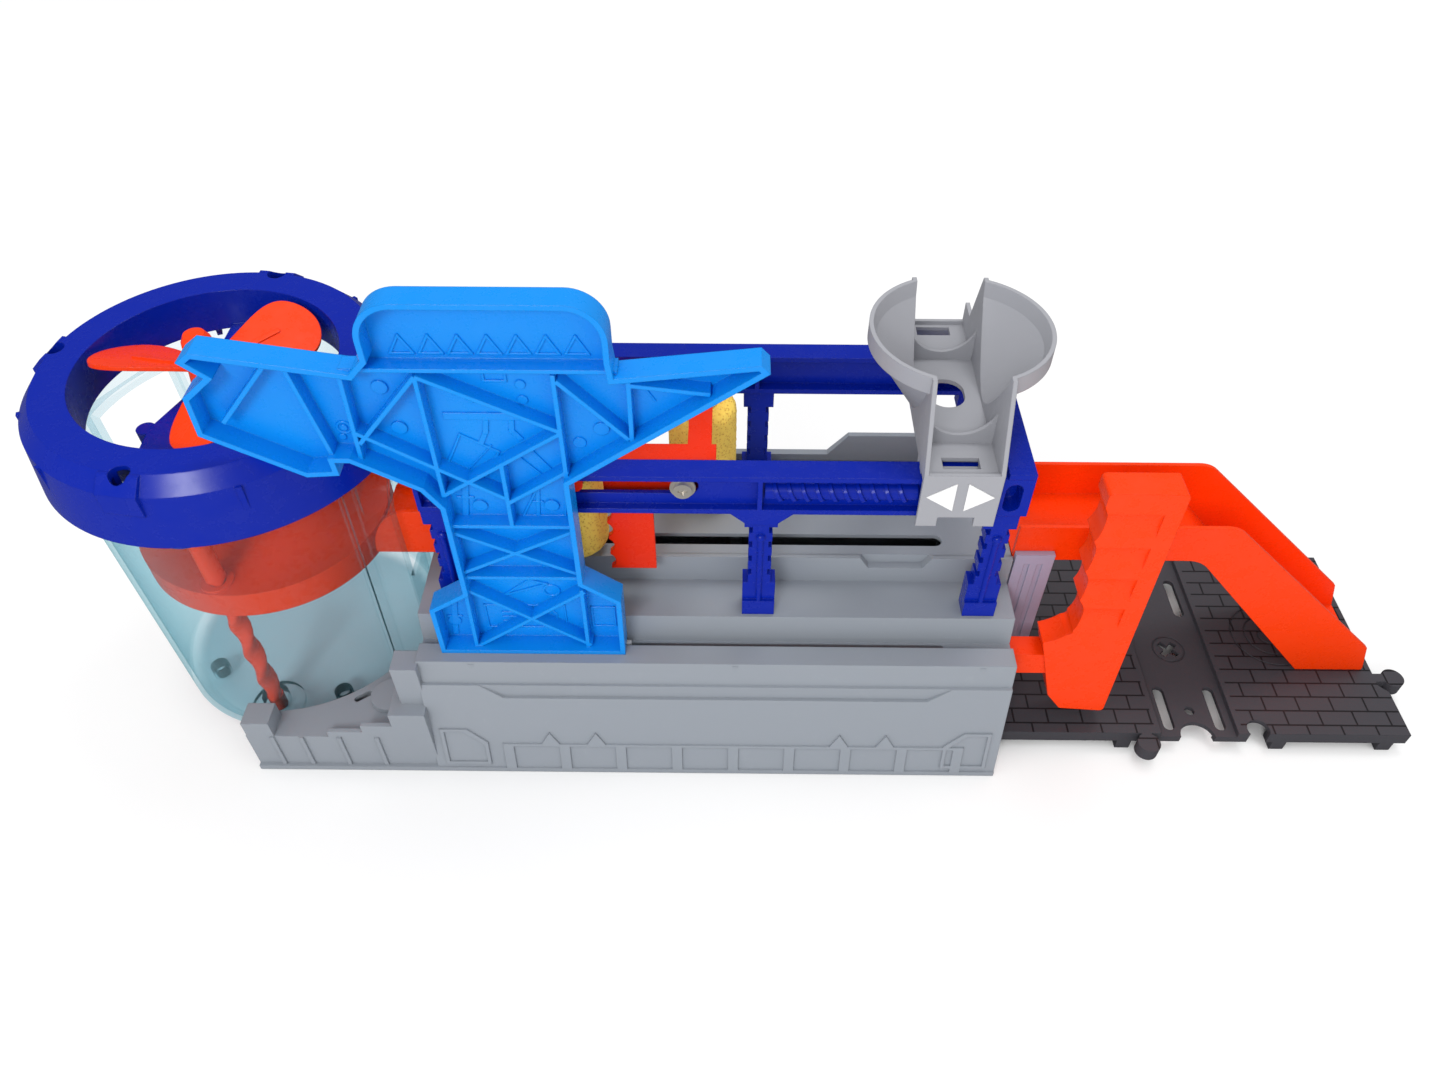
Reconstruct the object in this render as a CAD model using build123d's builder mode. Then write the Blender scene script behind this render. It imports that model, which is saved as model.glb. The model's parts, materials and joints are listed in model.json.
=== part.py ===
from build123d import *
import os
from math import atan2, cos, degrees, hypot, pi, radians, sin

# Toy car wash playset: lift tower, roller tunnel with a hopper, ramp and road plate.
# Origin: bottom centre of the whole toy. +X runs from the lift tower to the end of the
# road plate, +Y from the open back of the sign to the playing side, +Z up. Millimetres.

os.makedirs("parts", exist_ok=True)

# Clearances shared by every piece
overrun = 1.0
slide_gap = 0.3
running_gap = 0.06
seat_gap = 0.2

# Base housing
base_left, base_right = -165.0, 107.0
base_front, base_back = -82.0, 48.0
shell_wall = 2.2
flange_rise, flange_reach = 3.0, 2.0
front_lean = 11.0
panel_proud = 1.6
panel_line_z, panel_shoulder_z = 50.0, 58.0
panel_shoulder_run, panel_slant_run = 26.0, 12.0
block_top_z = 71.0
trench_front, trench_back = -58.5, -53.0
trench_depth = 3.5
trench_slot_front, trench_slot_width = -57.3, 3.0
shelf_z, shelf_front = 83.0, -51.0
table_front, table_back = -28.5, 22.5
table_z = 97.0
curb_rise, curb_width = 1.5, 2.0
far_shelf_back = 43.0
rear_low_z, rear_high_z = 97.0, 108.5
rear_step_start, rear_step_end = 26.0, 36.0
floor_slot_lead, floor_slot_end = 12.0, 31.0
floor_slot_y, floor_slot_width = -15.5, 7.0
dip_left, dip_right, dip_drop, dip_slant, dip_depth = 36.0, 71.0, 6.5, 5.0, 4.0
chute_shelf_length = 15.0

# Pilasters low on the front wall
pilaster_start, pilaster_end, pilaster_count = 34.0, 17.0, 9
pilaster_width, pilaster_proud, pilaster_top_z = 5.0, 0.9, 20.0
rail_height = 1.6
arches_from_left, arches_from_right = (57.0, 79.0), (77.0, 55.0)
arch_width, arch_rise = 9.0, 8.0
corner_frame_width, corner_frame_height, corner_frame_line = 22.0, 30.0, 1.8
corner_frame_inset, corner_frame_cut = 5.0, 9.0

# Stepped tray that hugs the tank
tray_length = 87.0
tray_z = 26.0
tray_steps_run = (48.0, 31.0, 16.0, 11.0)
tray_steps_rise = (4.0, 5.0, 9.0, 26.0)
tray_ribs_run = (75.0, 61.0, 43.0, 25.0)
tray_rib_width = 2.0
corner_block_width, corner_block_depth, corner_block_rise = 13.0, 12.0, 10.0
end_block_back = -62.0
tank_hug_gap = 0.8
cup_run, cup_y, cup_radius, cup_wall, cup_depth, cup_rise = 23.0, -57.0, 8.0, 1.4, 16.0, 3.0
tray_slot_length, tray_slot_width = 9.0, 3.0
tray_slot_run, tray_slot_y, tray_slot_turn = 37.0, -56.5, 36.0

# Underside cover and its screws
cover_inset, cover_z, cover_thick = 0.6, 2.0, 2.2
boss_radius = 3.6
boss_start, boss_mid, boss_end = 25.0, 145.0, 15.0
boss_front_y, boss_back_y = -66.0, 36.0
screw_radius, screw_head_radius, screw_head_height, screw_length = 1.25, 2.8, 1.6, 9.0

# Lift tower: tank, crown ring, bridge
tower_run, tower_y = 81.0, 4.0
tank_foot_radius, tank_rim_radius, tank_height = 66.0, 69.0, 172.0
tank_wall, tank_floor, tank_foot_round = 2.0, 2.5, 6.0
throat_length, throat_front, throat_back = 74.0, -29.0, 25.0
throat_spring_z, throat_rise = 124.0, 22.0
throat_wall = 2.0
door_sill_z = 80.0
exit_width, exit_height, exit_sill_z, exit_frame = 44.0, 44.0, 98.5, 3.0
exit_bearing = 152.0
lug_width, lug_height, lug_z, lug_reach = 9.0, 8.0, 92.0, 7.6
wall_rib_width, wall_rib_proud, wall_rib_bearings = 2.0, 1.4, (-35.0, -29.0)
bearing_radius, bearing_wall, bearing_height = 4.0, 2.5, 9.0
bearing_flange_radius = 13.0
pin_boss_radius, pin_boss_height = 4.5, 7.0
pin_boss_bearings = (215.0, 300.0)
pin_boss_reach = 52.0

ring_rise, ring_skirt_drop = 10.0, 22.0
ring_bore_radius, ring_flat_radius = 55.0, 69.5
ring_shoulder_radius, ring_shoulder_drop, ring_skirt_radius = 75.5, 7.0, 78.0
ring_wall, ring_bore_depth = 2.2, 20.0
ring_lug_width, ring_lug_proud = 17.0, 1.4
ring_hole_radius, ring_hole_depth = 4.2, 9.0
ring_lug_bearings = (-98.0, -8.0, 82.0, 172.0)
notch_bearings = (-130.0, -64.0, 52.0, 112.0, 142.0, 200.0)
notch_width, notch_proud = 2.4, 0.9
ring_seat_outer, ring_seat_inner = 68.9, 66.9

gear_module = 1.25
drive_teeth, idler_teeth, fan_teeth = 16, 24, 16
gear_thick, gear_backlash = 6.0, 0.35
addendum_share, dedendum_share = 0.8, 1.15
tooth_tip_share, tooth_root_share = 0.42, 1.15
case_gap = 1.2
bridge_drop, bridge_deep, bridge_wall = 22.0, 14.0, 2.0
bridge_back_width, bridge_back_reach = 24.0, 57.0
bridge_lid_reach = 28.0
ear_radius, ear_reach, rear_screw_reach = 4.0, 21.0, 22.0
hub_boss_radius, hub_boss_rise = 6.0, 3.2
boss_drop, drive_boss_radius = 19.0, 14.0
post_bearing = -98.0
cover_screw_head_radius, cover_screw_radius, cover_screw_length = 2.2, 1.0, 6.0

# Lift screw and platform
post_radius = 4.5
twist_long, twist_short = 4.8, 3.2
twist_lead = 42.0
twist_step_angle = 30.0
twist_rise = 2.5
top_journal_radius = 3.0
nut_gap = 0.4
platform_radius, platform_rim, platform_top_z = 58.0, 14.0, 98.0
platform_plate, platform_wall = 2.6, 2.2
collar_radius, collar_rise, collar_drop = 7.4, 1.4, 4.0
platform_ribs, platform_rib_thick, platform_rib_deep = 3, 1.6, 8.0
guard_start, guard_sweep, guard_height, guard_wall, guard_inset = 30.0, 75.0, 16.0, 2.0, 1.0
idler_pin_radius = 3.0

# Fan
fan_radius = 52.0
fan_blades = 3
fan_blade_bearing = 50.0
fan_blade_thick, fan_pitch = 1.8, 20.0
fan_plane_rise = 15.0
fan_hub_low_radius, fan_hub_top_radius = 9.5, 6.0
fan_hub_height = 30.5
fan_hub_round = 4.0
fan_dome_shares = (0.72, 0.25)
fan_shaft_radius = 3.0
blade_outline_shares = ((0.0, -0.08), (0.35, -0.27), (0.78, -0.33), (1.0, -0.04), (0.88, 0.25),
                        (0.45, 0.21), (0.0, 0.08))
blade_rib_width, blade_rib_rise, blade_rib_share = 2.2, 1.6, 0.62

# Entry chute between tunnel and tank
chute_reach = 15.0
chute_half_width, chute_wall, chute_floor = 21.5, 2.0, 2.2
chute_low_rise, chute_high_rise, chute_curve_share = 9.0, 24.0, 0.55

# Frame of two beams on posts
beam_start, beam_end = 13.0, 8.0
near_beam_front, near_beam_back = -49.0, -38.5
far_beam_front, far_beam_back = 30.0, 40.5
beam_low_z, beam_top_z = 147.0, 167.4
beam_flange, beam_web = 2.5, 2.0
post_start, post_mid_run, post_end = 7.0, 26.0, 9.0
post_width, post_waist, post_depth = 14.0, 10.0, 8.0
post_notches, post_notch_depth, post_notch_share = 4, 1.5, 0.6
post_rod_radius, post_ball_radius, post_rod_drop = 1.3, 2.1, 6.0
post_step_proud, post_step_rise = 1.6, 9.0
post_foot_rise, post_foot_width = 20.0, 14.5
gusset_width, gusset_drop = 26.0, 9.0
guide_slot_start, guide_slot_length = 22.0, 94.0
guide_slot_z, guide_slot_height = 159.3, 8.2
beam_recess = 3.5
end_block_length, end_pocket_width, end_pocket_height = 15.0, 7.0, 15.0
pipe_z, pipe_radius, pipe_ridge_radius, pipe_ridge_width, pipe_ridge_tilt = 157.5, 3.8, 4.9, 1.6, 24.0
pipe_length, pipe_ridge_pitch, pipe_ridges = 62.0, 5.6, 10
tie_plate_thick, tie_plate_width = 2.6, 11.0

# Sign panel, seen from its open back
sign_run, sign_width, sign_height = 55.0, 210.5, 187.0
sign_front, sign_depth, sign_wall, sign_web = -64.0, 10.8, 2.2, 1.8
sign_rib, sign_rib_depth = 1.7, 6.5
sign_round = 15.0
tongue_start, tongue_length, tongue_gap = 15.0, 62.0, 0.2
sign_outline_shares = (
    (0.3156, 0.0), (0.3156, 0.160), (0.3945, 0.219), (0.3945, 0.491), (0.366, 0.544),
    (0.2533, 0.6217), (0.2267, 0.6217), (0.228, 0.587), (0.1678, 0.5816), (0.003, 0.690),
    (0.0057, 0.7844), (0.056, 0.832), (0.020, 0.868), (0.046, 0.890), (0.2994, 0.8431),
    (0.326, 0.875), (0.326, 1.0), (0.736, 1.0), (0.736, 0.875), (0.7395, 0.8385),
    (0.9848, 0.872), (1.0, 0.853), (0.6413, 0.5645), (0.6413, 0.258), (0.7143, 0.195),
    (0.7127, 0.0),
)
sign_round_shares = ((0.326, 1.0), (0.736, 1.0))
sign_rib_shares = (
    ((0.280, 0.844), (0.745, 0.844)), ((0.404, 0.829), (0.277, 0.660)), ((0.404, 0.829), (0.403, 0.515)),
    ((0.404, 0.829), (0.636, 0.695)), ((0.278, 0.830), (0.271, 0.611)), ((0.636, 0.835), (0.636, 0.565)),
    ((0.640, 0.821), (0.756, 0.677)), ((0.762, 0.840), (0.761, 0.665)), ((0.764, 0.812), (0.900, 0.792)),
    ((0.635, 0.691), (0.403, 0.519)), ((0.270, 0.692), (0.517, 0.512)), ((0.521, 0.605), (0.519, 0.427)),
    ((0.640, 0.590), (0.519, 0.497)), ((0.395, 0.427), (0.640, 0.427)), ((0.395, 0.261), (0.640, 0.261)),
    ((0.397, 0.409), (0.640, 0.272)), ((0.397, 0.274), (0.640, 0.416)), ((0.400, 0.217), (0.640, 0.018)),
    ((0.640, 0.214), (0.392, 0.008)), ((0.396, 0.222), (0.391, 0.005)), ((0.634, 0.220), (0.632, 0.005)),
    ((0.156, 0.850), (0.050, 0.712)), ((0.189, 0.850), (0.226, 0.600)),
)
sign_disc_shares = ((0.705, 0.679), (0.458, 0.461), (0.595, 0.463), (0.345, 0.678), (0.330, 0.780))
sign_disc_radius, sign_disc_proud = 3.0, 0.8

# Hopper that straddles both beams
hopper_x, hopper_y = 69.0, -4.0
hopper_width, hopper_wall, hopper_floor = 32.0, 1.8, 2.0
hopper_front, hopper_back = -53.0, 53.0
hopper_top_rise, hopper_plate_height, hopper_rear_height = 5.6, 28.0, 17.0
hopper_bowl_rise, hopper_rim_radius, hopper_band = 36.0, 37.0, 8.0
hopper_throat_radius = 15.0
hopper_notch_width, hopper_notch_height = 15.0, 5.0
hopper_oval_length, hopper_oval_width, hopper_oval_y = 19.0, 15.5, 1.0
hopper_slot_length, hopper_slot_width, hopper_slot_y = 8.5, 3.0, -28.5
hopper_window_length, hopper_window_width, hopper_window_y = 15.0, 6.5, -43.5
hopper_recess_length, hopper_recess_width, hopper_recess_y = 15.0, 6.0, 46.0
hopper_guide_thick, hopper_guide_drop = 2.0, 8.0
hopper_rail_width, hopper_rail_inset = 4.0, 3.0
hopper_saddle_low, hopper_saddle_high, hopper_saddle_reach = 4.0, 15.0, 28.0
hopper_back_rise, hopper_back_run = 9.0, 11.0
arrow_height, arrow_length, arrow_gap, arrow_thick = 15.0, 11.5, 4.5, 0.4

# Washing carriage and rollers
panel_back, panel_thick = -34.5, 2.5
panel_start, panel_length, panel_low_z, panel_top_gap = 24.0, 72.0, 100.0, 0.4
bar_reach, bar_low_z, bar_depth = 27.0, 149.0, 9.0
wave_count, wave_depth = 5, 2.2
roller_radius, roller_low_z, roller_top_gap, roller_round = 16.0, 100.2, 0.5, 4.0
near_roller_start, near_roller_y = 34.0, -20.5
far_roller_end, far_roller_y = 7.0, 13.5
roller_window_gap = 1.8
bracket_thick, bracket_width, bracket_deep, boss_share = 2.5, 10.0, 6.5, 0.55
core_radius, core_flange_radius, core_flange_thick = 4.0, 7.5, 1.0
axle_radius = 1.5
cap_radius, cap_height = 3.0, 2.6
far_panel_front, far_panel_reach, far_panel_low_z = 26.5, 5.0, 158.0
tie_start, tie_width, tie_thick = 3.0, 16.0, 2.5
peg_start, peg_pitch, peg_radius = 41.0, 43.0, 3.8
guide_screw_end = 13.5
guide_boss_width = 6.0
washer_radius, washer_thick = 5.3, 1.0
guide_head_radius, guide_head_height, guide_shank_radius = 3.9, 2.2, 1.6
house_width, house_height, house_roof, house_proud = 12.0, 26.0, 5.0, 0.8

# Handle, its rod and the pusher that it carries
rod_front, rod_back, rod_low_z, rod_top_z = -56.5, -45.5, 50.0, 63.8
rod_right = 134.0
grip_front, grip_back = -57.5, -44.5
grip_left, grip_right = 119.5, 161.0
grip_low_z, grip_top_z = 21.0, 168.0
grip_outline_shares = (
    (0.0, 0.376), (0.28, 0.088), (0.47, 0.014), (1.0, 0.0), (0.93, 1.0), (0.157, 1.0),
    (0.18, 0.67), (0.26, 0.54), (0.30, 0.405),
)
grip_round = 2.0
finger_radius, finger_bite, finger_front_bite = 19.0, 2.6, 1.2
finger_first_z, finger_pitch, finger_flange = 92.0, 19.5, 9.0
finger_edge_xs = (131.2, 128.4, 126.8, 126.4)
pusher_gap, pusher_length = 4.0, 14.0
pusher_back, pusher_fin_length, pusher_fin_width, pusher_fin_top_z = -10.0, 8.0, 2.8, 109.0
pusher_fin_y, pusher_thick = -15.0, 6.0
pusher_peg_length, pusher_peg_top_z = 6.0, 70.0
lap_length = 16.0
guide_left, guide_thick, guide_wall = 86.0, 6.0, 3.0
handle_screw_zs = (54.0, 60.0)
pin_screw_radius, pin_screw_head_radius, pin_screw_head = 1.2, 2.4, 1.5

# Ramp and its support
ramp_front, ramp_back, ramp_wall, ramp_floor = -25.0, 19.0, 2.0, 2.2
ramp_left = 107.4
ramp_knee_x, ramp_low_knee_x = 206.0, 196.0
ramp_top_z = 116.0
ramp_toe_x, ramp_toe_z = 299.5, 31.0
ramp_foot_left, ramp_foot_right = 271.0, 304.0
ramp_round = 14.0
support_width, support_thick, support_groove = 18.0, 3.0, 1.2
support_left = 108.0
support_grooves = 2
foot_peg_radius, foot_peg_length = 3.0, 6.0

# Road plate
plate_left, plate_right, plate_front, plate_back = 107.5, 313.0, -65.0, 54.0
plate_top_z, plate_thick, plate_skirt = 13.0, 2.4, 7.0
plate_step_y, plate_step = -39.0, 4.0
lane_left, lane_right, lane_drop = 190.5, 228.5, 3.0
lane_slot_width, lane_slot_length, lane_slot_inset = 5.5, 26.0, 3.5
lane_slot_near_y, lane_slot_far_y = -48.0, 25.0
peg_hole_y, peg_hole_radius = -49.5, 2.4
keyhole_y, keyhole_ring, keyhole_arm, keyhole_arm_width = -10.5, 8.5, 5.5, 3.2
bay_radius = 8.5
joint_radius, joint_neck, joint_reach = 5.5, 5.0, 5.5
male_x, socket_x, side_joint_y = 183.0, 239.0, -30.0
foot_width, foot_depth = 7.0, 8.0
foot_xs = (174.0, 251.0, 304.0)
line_depth = 0.5
manhole_x, manhole_y, manhole_radii, manhole_line = 264.0, -3.0, (20.0, 13.0, 6.0), 0.8
fin_x, fin_y, fin_length, fin_rise, fin_thick = 128.0, 44.0, 14.0, 12.0, 3.0

# Places and sizes that follow from the values above
tower_x = base_left - tower_run
throat_right = tower_x + throat_length
chute_shelf_right = base_left + chute_shelf_length
chute_left, chute_right = throat_right - chute_reach, chute_shelf_right - slide_gap
tray_left = base_left - tray_length
tray_steps_x = [base_left - run for run in tray_steps_run]
tray_rib_xs = [base_left - run for run in tray_ribs_run]
cup_x, tray_slot_x = base_left - cup_run, base_left - tray_slot_run
pilaster_first_x = base_left + pilaster_start
pilaster_last_x = base_right - pilaster_end - pilaster_width
pilaster_pitch = (pilaster_last_x - pilaster_first_x) / (pilaster_count - 1)
arch_xs = [base_left + run for run in arches_from_left] + [base_right - run for run in arches_from_right]
boss_xs = (base_left + boss_start, base_left + boss_mid, base_right - boss_end)
beam_left, beam_right = base_left + beam_start, base_right - beam_end
guide_slot_left = beam_left + guide_slot_start
guide_slot_right = guide_slot_left + guide_slot_length
post_mid_x = guide_slot_right + post_mid_run
post_xs = (beam_left + post_start, post_mid_x, beam_right - post_end)
beam_rib_x, pipe_left = post_mid_x - beam_web / 2, post_mid_x + beam_web / 2
end_block_left = beam_right - end_block_length
sign_left = base_left - sign_run
tongue_left = base_left + tongue_start
tongue_right = tongue_left + tongue_length
panel_left = beam_left + panel_start
panel_right = panel_left + panel_length
bar_right = panel_right + bar_reach
near_roller_x, far_roller_x = panel_left + near_roller_start, bar_right - far_roller_end
pusher_left = near_roller_x + roller_radius + pusher_gap
pusher_right = pusher_left + pusher_length
rod_left = pusher_right
floor_slot_left, floor_slot_right = pusher_left - floor_slot_lead, base_right - floor_slot_end
tie_left = panel_left + tie_start
tie_right = tie_left + tie_width
far_panel_left, far_panel_right = tie_left, bar_right + far_panel_reach
peg_x = panel_left + peg_start
far_peg_xs = (peg_x, peg_x + peg_pitch)
guide_screw_x = bar_right - guide_screw_end
ring_top_z, ring_skirt_z = tank_height + ring_rise, tank_height - ring_skirt_drop
bridge_floor_z = tank_height - bridge_drop
bridge_top_z = bridge_floor_z + bridge_deep
hub_boss_top_z = bridge_top_z + hub_boss_rise
fan_plane_z = bridge_top_z + fan_plane_rise
fan_hub_low_z = hub_boss_top_z + slide_gap
fan_hub_top_z = fan_hub_low_z + fan_hub_height
twist_top_z = platform_top_z + twist_rise
panel_top_z = beam_top_z - beam_flange - panel_top_gap
bracket_z = panel_top_z - bracket_deep
roller_top_z = bracket_z - roller_top_gap
hopper_plate_top_z = beam_top_z + hopper_top_rise
hopper_plate_low_z = hopper_plate_top_z - hopper_plate_height
hopper_rear_low_z = hopper_plate_top_z - hopper_rear_height
hopper_rim_z = hopper_plate_top_z + hopper_bowl_rise
hopper_back_low_z = hopper_plate_top_z + hopper_back_rise
gear_reach = gear_module * (drive_teeth + idler_teeth) / 2
fan_reach = gear_module * (fan_teeth + idler_teeth) / 2
post_x = tower_x + (gear_reach + fan_reach) * cos(radians(post_bearing))
post_y = tower_y + (gear_reach + fan_reach) * sin(radians(post_bearing))
idler_x = tower_x + fan_reach * cos(radians(post_bearing))
idler_y = tower_y + fan_reach * sin(radians(post_bearing))
lane_mid = (lane_left + lane_right) / 2
front_slope = front_lean / block_top_z


def front_y(z, proud=0):
    """Depth of the leaning front wall at one height."""
    return base_front + flange_reach + front_slope * z - proud


def at_share(shares, left, width, low, height):
    """Outline points from shares of a width and a height."""
    return [(left + u * width, low + v * height) for u, v in shares]


def rod_between(start, end, thick):
    """Length, middle and turn of a straight rib from one point to another."""
    run, rise = end[0] - start[0], end[1] - start[1]
    middle = ((start[0] + end[0]) / 2, (start[1] + end[1]) / 2)
    return hypot(run, rise) + thick, middle, degrees(atan2(rise, run))


# Base housing: one section across the toy, hollow below
tray_front = base_front + flange_reach
tray_tops = [tray_z + sum(tray_steps_rise[:count]) for count in (3, 4)]
end_blocks = (
    (tray_steps_x[2], tray_front, tray_tops[0]),
    (tray_steps_x[3], front_y(tray_tops[0]), tray_tops[1]),
)
front_turn = atan2(front_lean, block_top_z)
relief_plane = Plane(origin=(0, front_y(0, panel_proud), 0), x_dir=(1, 0, 0),
                     z_dir=(0, -cos(front_turn), sin(front_turn)))


def corner_frame(left, way, grow):
    """Outline of a raised field at one lower corner of the front, with its inner top corner cut."""
    low, high = flange_rise + corner_frame_inset / 2 - grow, corner_frame_height + grow
    near, far = left - way * grow, left + way * (corner_frame_width + grow)
    cut = corner_frame_cut
    return [(near, low), (far, low), (far, high - cut), (far - way * cut, high), (near, high)]


section = [
    (base_front, 0), (base_front, flange_rise), (front_y(flange_rise, panel_proud), flange_rise),
    (front_y(panel_shoulder_z, panel_proud), panel_shoulder_z),
    (front_y(panel_shoulder_z), panel_shoulder_z),
    (front_y(block_top_z), block_top_z), (trench_front, block_top_z),
    (trench_front, block_top_z - trench_depth), (trench_back, block_top_z - trench_depth),
    (shelf_front, shelf_z), (table_front, shelf_z), (table_front, table_z + curb_rise),
    (table_front + curb_width, table_z + curb_rise), (table_front + curb_width, table_z),
    (table_back - curb_width, table_z), (table_back - curb_width, table_z + curb_rise),
    (table_back, table_z + curb_rise), (table_back, shelf_z), (far_shelf_back, shelf_z),
    (far_shelf_back + shell_wall, rear_high_z), (base_back, rear_high_z), (base_back, 0),
]
hollow = [
    (base_front + flange_reach + shell_wall, -overrun),
    (front_y(block_top_z - shell_wall) + shell_wall, block_top_z - shell_wall),
    (trench_front - shell_wall, block_top_z - shell_wall),
    (trench_front - shell_wall, block_top_z - trench_depth - shell_wall),
    (trench_back + shell_wall, block_top_z - trench_depth - shell_wall),
    (shelf_front + shell_wall, shelf_z - shell_wall), (table_front + shell_wall, shelf_z - shell_wall),
    (table_front + shell_wall, table_z - shell_wall), (table_back - shell_wall, table_z - shell_wall),
    (table_back - shell_wall, shelf_z - shell_wall), (far_shelf_back, shelf_z - shell_wall),
    (far_shelf_back, rear_low_z - shell_wall - curb_rise),
    (base_back - shell_wall, rear_low_z - shell_wall - curb_rise),
    (base_back - shell_wall, -overrun),
]
with BuildPart() as base_shell:
    with BuildSketch(Plane.YZ.offset(base_left)):
        with BuildLine():
            Polyline(*section, close=True)
        make_face()
    extrude(amount=base_right - base_left)
    # The tray that reaches round the tank, with its stepped front wall
    with BuildSketch(Plane.XZ.offset(-tray_front)):
        with BuildLine():
            outline = [(tray_left, 0), (tray_left, tray_z), (tray_steps_x[0], tray_z)]
            height = tray_z
            for place, after, rise in zip(tray_steps_x, tray_steps_x[1:], tray_steps_rise):
                height = height + rise
                outline += [(place, height), (after, height)]
            outline[-1] = (base_left + overrun, height)
            outline.append((base_left + overrun, 0))
            Polyline(*outline, close=True)
        make_face()
    extrude(amount=-shell_wall)
    with BuildSketch():
        with Locations(((tray_left + base_left) / 2, (tray_front + shelf_front) / 2)):
            Rectangle(base_left - tray_left + overrun, shelf_front - tray_front)
        with Locations((tray_steps_x[0] / 2 + base_left / 2, (shelf_front + throat_front) / 2)):
            Rectangle(base_left - tray_steps_x[0] + overrun, throat_front - shelf_front)
    extrude(amount=tray_z)
    with BuildSketch():
        with Locations(((tray_left + base_left) / 2, (base_front + tray_front) / 2)):
            Rectangle(base_left - tray_left + overrun, tray_front - base_front)
    extrude(amount=flange_rise)
    with BuildSketch(Plane.XY.offset(tray_z)):
        with Locations((tray_left + corner_block_width / 2, tray_front + corner_block_depth / 2)):
            Rectangle(corner_block_width, corner_block_depth)
    extrude(amount=corner_block_rise)
    for x, front, top in end_blocks:
        with BuildSketch():
            with Locations(((x + base_left + overrun) / 2, (front + end_block_back) / 2)):
                Rectangle(base_left + overrun - x, end_block_back - front)
        extrude(amount=top)
    for x, front, top in end_blocks:
        with BuildSketch(Plane.XY.offset(-overrun)):
            with Locations(((x + base_left) / 2 + shell_wall / 2, (front + end_block_back) / 2)):
                Rectangle(base_left - x - shell_wall, end_block_back - front - 2 * shell_wall)
        extrude(amount=top - shell_wall + overrun, mode=Mode.SUBTRACT)
    with BuildSketch(Plane.XZ.offset(-tray_front)):
        for x in tray_rib_xs:
            with Locations((x, tray_z / 2)):
                Rectangle(tray_rib_width, tray_z)
    extrude(amount=pilaster_proud)
    # Hollow the tray and the block, and let the tank in
    with BuildSketch(Plane.YZ.offset(base_left + shell_wall)):
        with BuildLine():
            Polyline(*hollow, close=True)
        make_face()
    extrude(amount=base_right - base_left - 2 * shell_wall, mode=Mode.SUBTRACT)
    with BuildSketch(Plane.XY.offset(-overrun)):
        with Locations(((tray_left + base_left) / 2, (tray_front + shelf_front) / 2)):
            Rectangle(base_left - tray_left - 2 * shell_wall, shelf_front - tray_front - 2 * shell_wall)
        with Locations((tower_x, tower_y)):
            Circle(tank_rim_radius + tank_hug_gap + shell_wall, mode=Mode.SUBTRACT)
    extrude(amount=tray_z - shell_wall + overrun, mode=Mode.SUBTRACT)
    with BuildSketch(Plane.XY.offset(-overrun)):
        with Locations((tower_x, tower_y)):
            Circle(tank_rim_radius + tank_hug_gap)
        with Locations(((tower_x + throat_right) / 2, (throat_front + throat_back) / 2)):
            Rectangle(throat_right - tower_x + 2 * tank_hug_gap,
                      throat_back - throat_front + 2 * tank_hug_gap)
    extrude(amount=rear_high_z + 2 * overrun, mode=Mode.SUBTRACT)
    # The middle of the front panel drops below its shoulders
    with BuildSketch(Plane.XZ.offset(-base_front + overrun)):
        with BuildLine():
            left_edge = base_left + panel_shoulder_run
            right_edge = base_right - panel_shoulder_run
            Polyline(
                (left_edge, panel_shoulder_z + overrun), (left_edge + panel_slant_run, panel_line_z),
                (right_edge - panel_slant_run, panel_line_z), (right_edge, panel_shoulder_z + overrun),
                close=True,
            )
        make_face()
    extrude(amount=-(front_y(panel_line_z) - base_front + overrun), mode=Mode.SUBTRACT)
    # Rear wall steps down over its left part
    with BuildSketch(Plane.XZ.offset(-far_shelf_back + overrun)):
        with BuildLine():
            Polyline(
                (base_left - overrun, rear_high_z + overrun), (base_left - overrun, rear_low_z),
                (rear_step_start, rear_low_z), (rear_step_end, rear_high_z),
                (rear_step_end, rear_high_z + overrun), close=True,
            )
        make_face()
    extrude(amount=-(base_back - far_shelf_back + 2 * overrun), mode=Mode.SUBTRACT)
    # Chute shelf, floor slot, trench slot, curb dip and rod hole
    with BuildSketch(Plane.XY.offset(shelf_z)):
        with Locations(((base_left + chute_shelf_right) / 2, (table_front + table_back) / 2)):
            Rectangle(chute_shelf_right - base_left + overrun, table_back - table_front)
    extrude(amount=table_z, mode=Mode.SUBTRACT)
    with BuildSketch(Plane.XY.offset(shelf_z - shell_wall)):
        with Locations(((base_left + chute_shelf_right + shell_wall) / 2, (table_front + table_back) / 2)):
            Rectangle(chute_shelf_right - base_left + shell_wall, table_back - table_front)
    extrude(amount=shell_wall)
    with BuildSketch(Plane.YZ.offset(chute_shelf_right)):
        with Locations(((table_front + table_back) / 2, (shelf_z + table_z) / 2)):
            Rectangle(table_back - table_front, table_z - shelf_z)
    extrude(amount=shell_wall)
    with BuildSketch(Plane.XY.offset(table_z + overrun)):
        with Locations(((floor_slot_left + floor_slot_right) / 2, floor_slot_y)):
            SlotOverall(floor_slot_right - floor_slot_left, floor_slot_width)
    extrude(amount=-shell_wall - 2 * overrun, mode=Mode.SUBTRACT)
    with BuildSketch(Plane.XY.offset(block_top_z)):
        with Locations(((floor_slot_left + floor_slot_right) / 2,
                        trench_slot_front + trench_slot_width / 2)):
            SlotOverall(floor_slot_right - floor_slot_left, trench_slot_width)
    extrude(amount=-trench_depth - shell_wall - overrun, mode=Mode.SUBTRACT)
    with BuildSketch(Plane.XZ.offset(-table_front)):
        low = table_z + curb_rise - dip_drop
        with Locations(((dip_left + dip_right) / 2, low + (table_z - low - shell_wall) / 2)):
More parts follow.
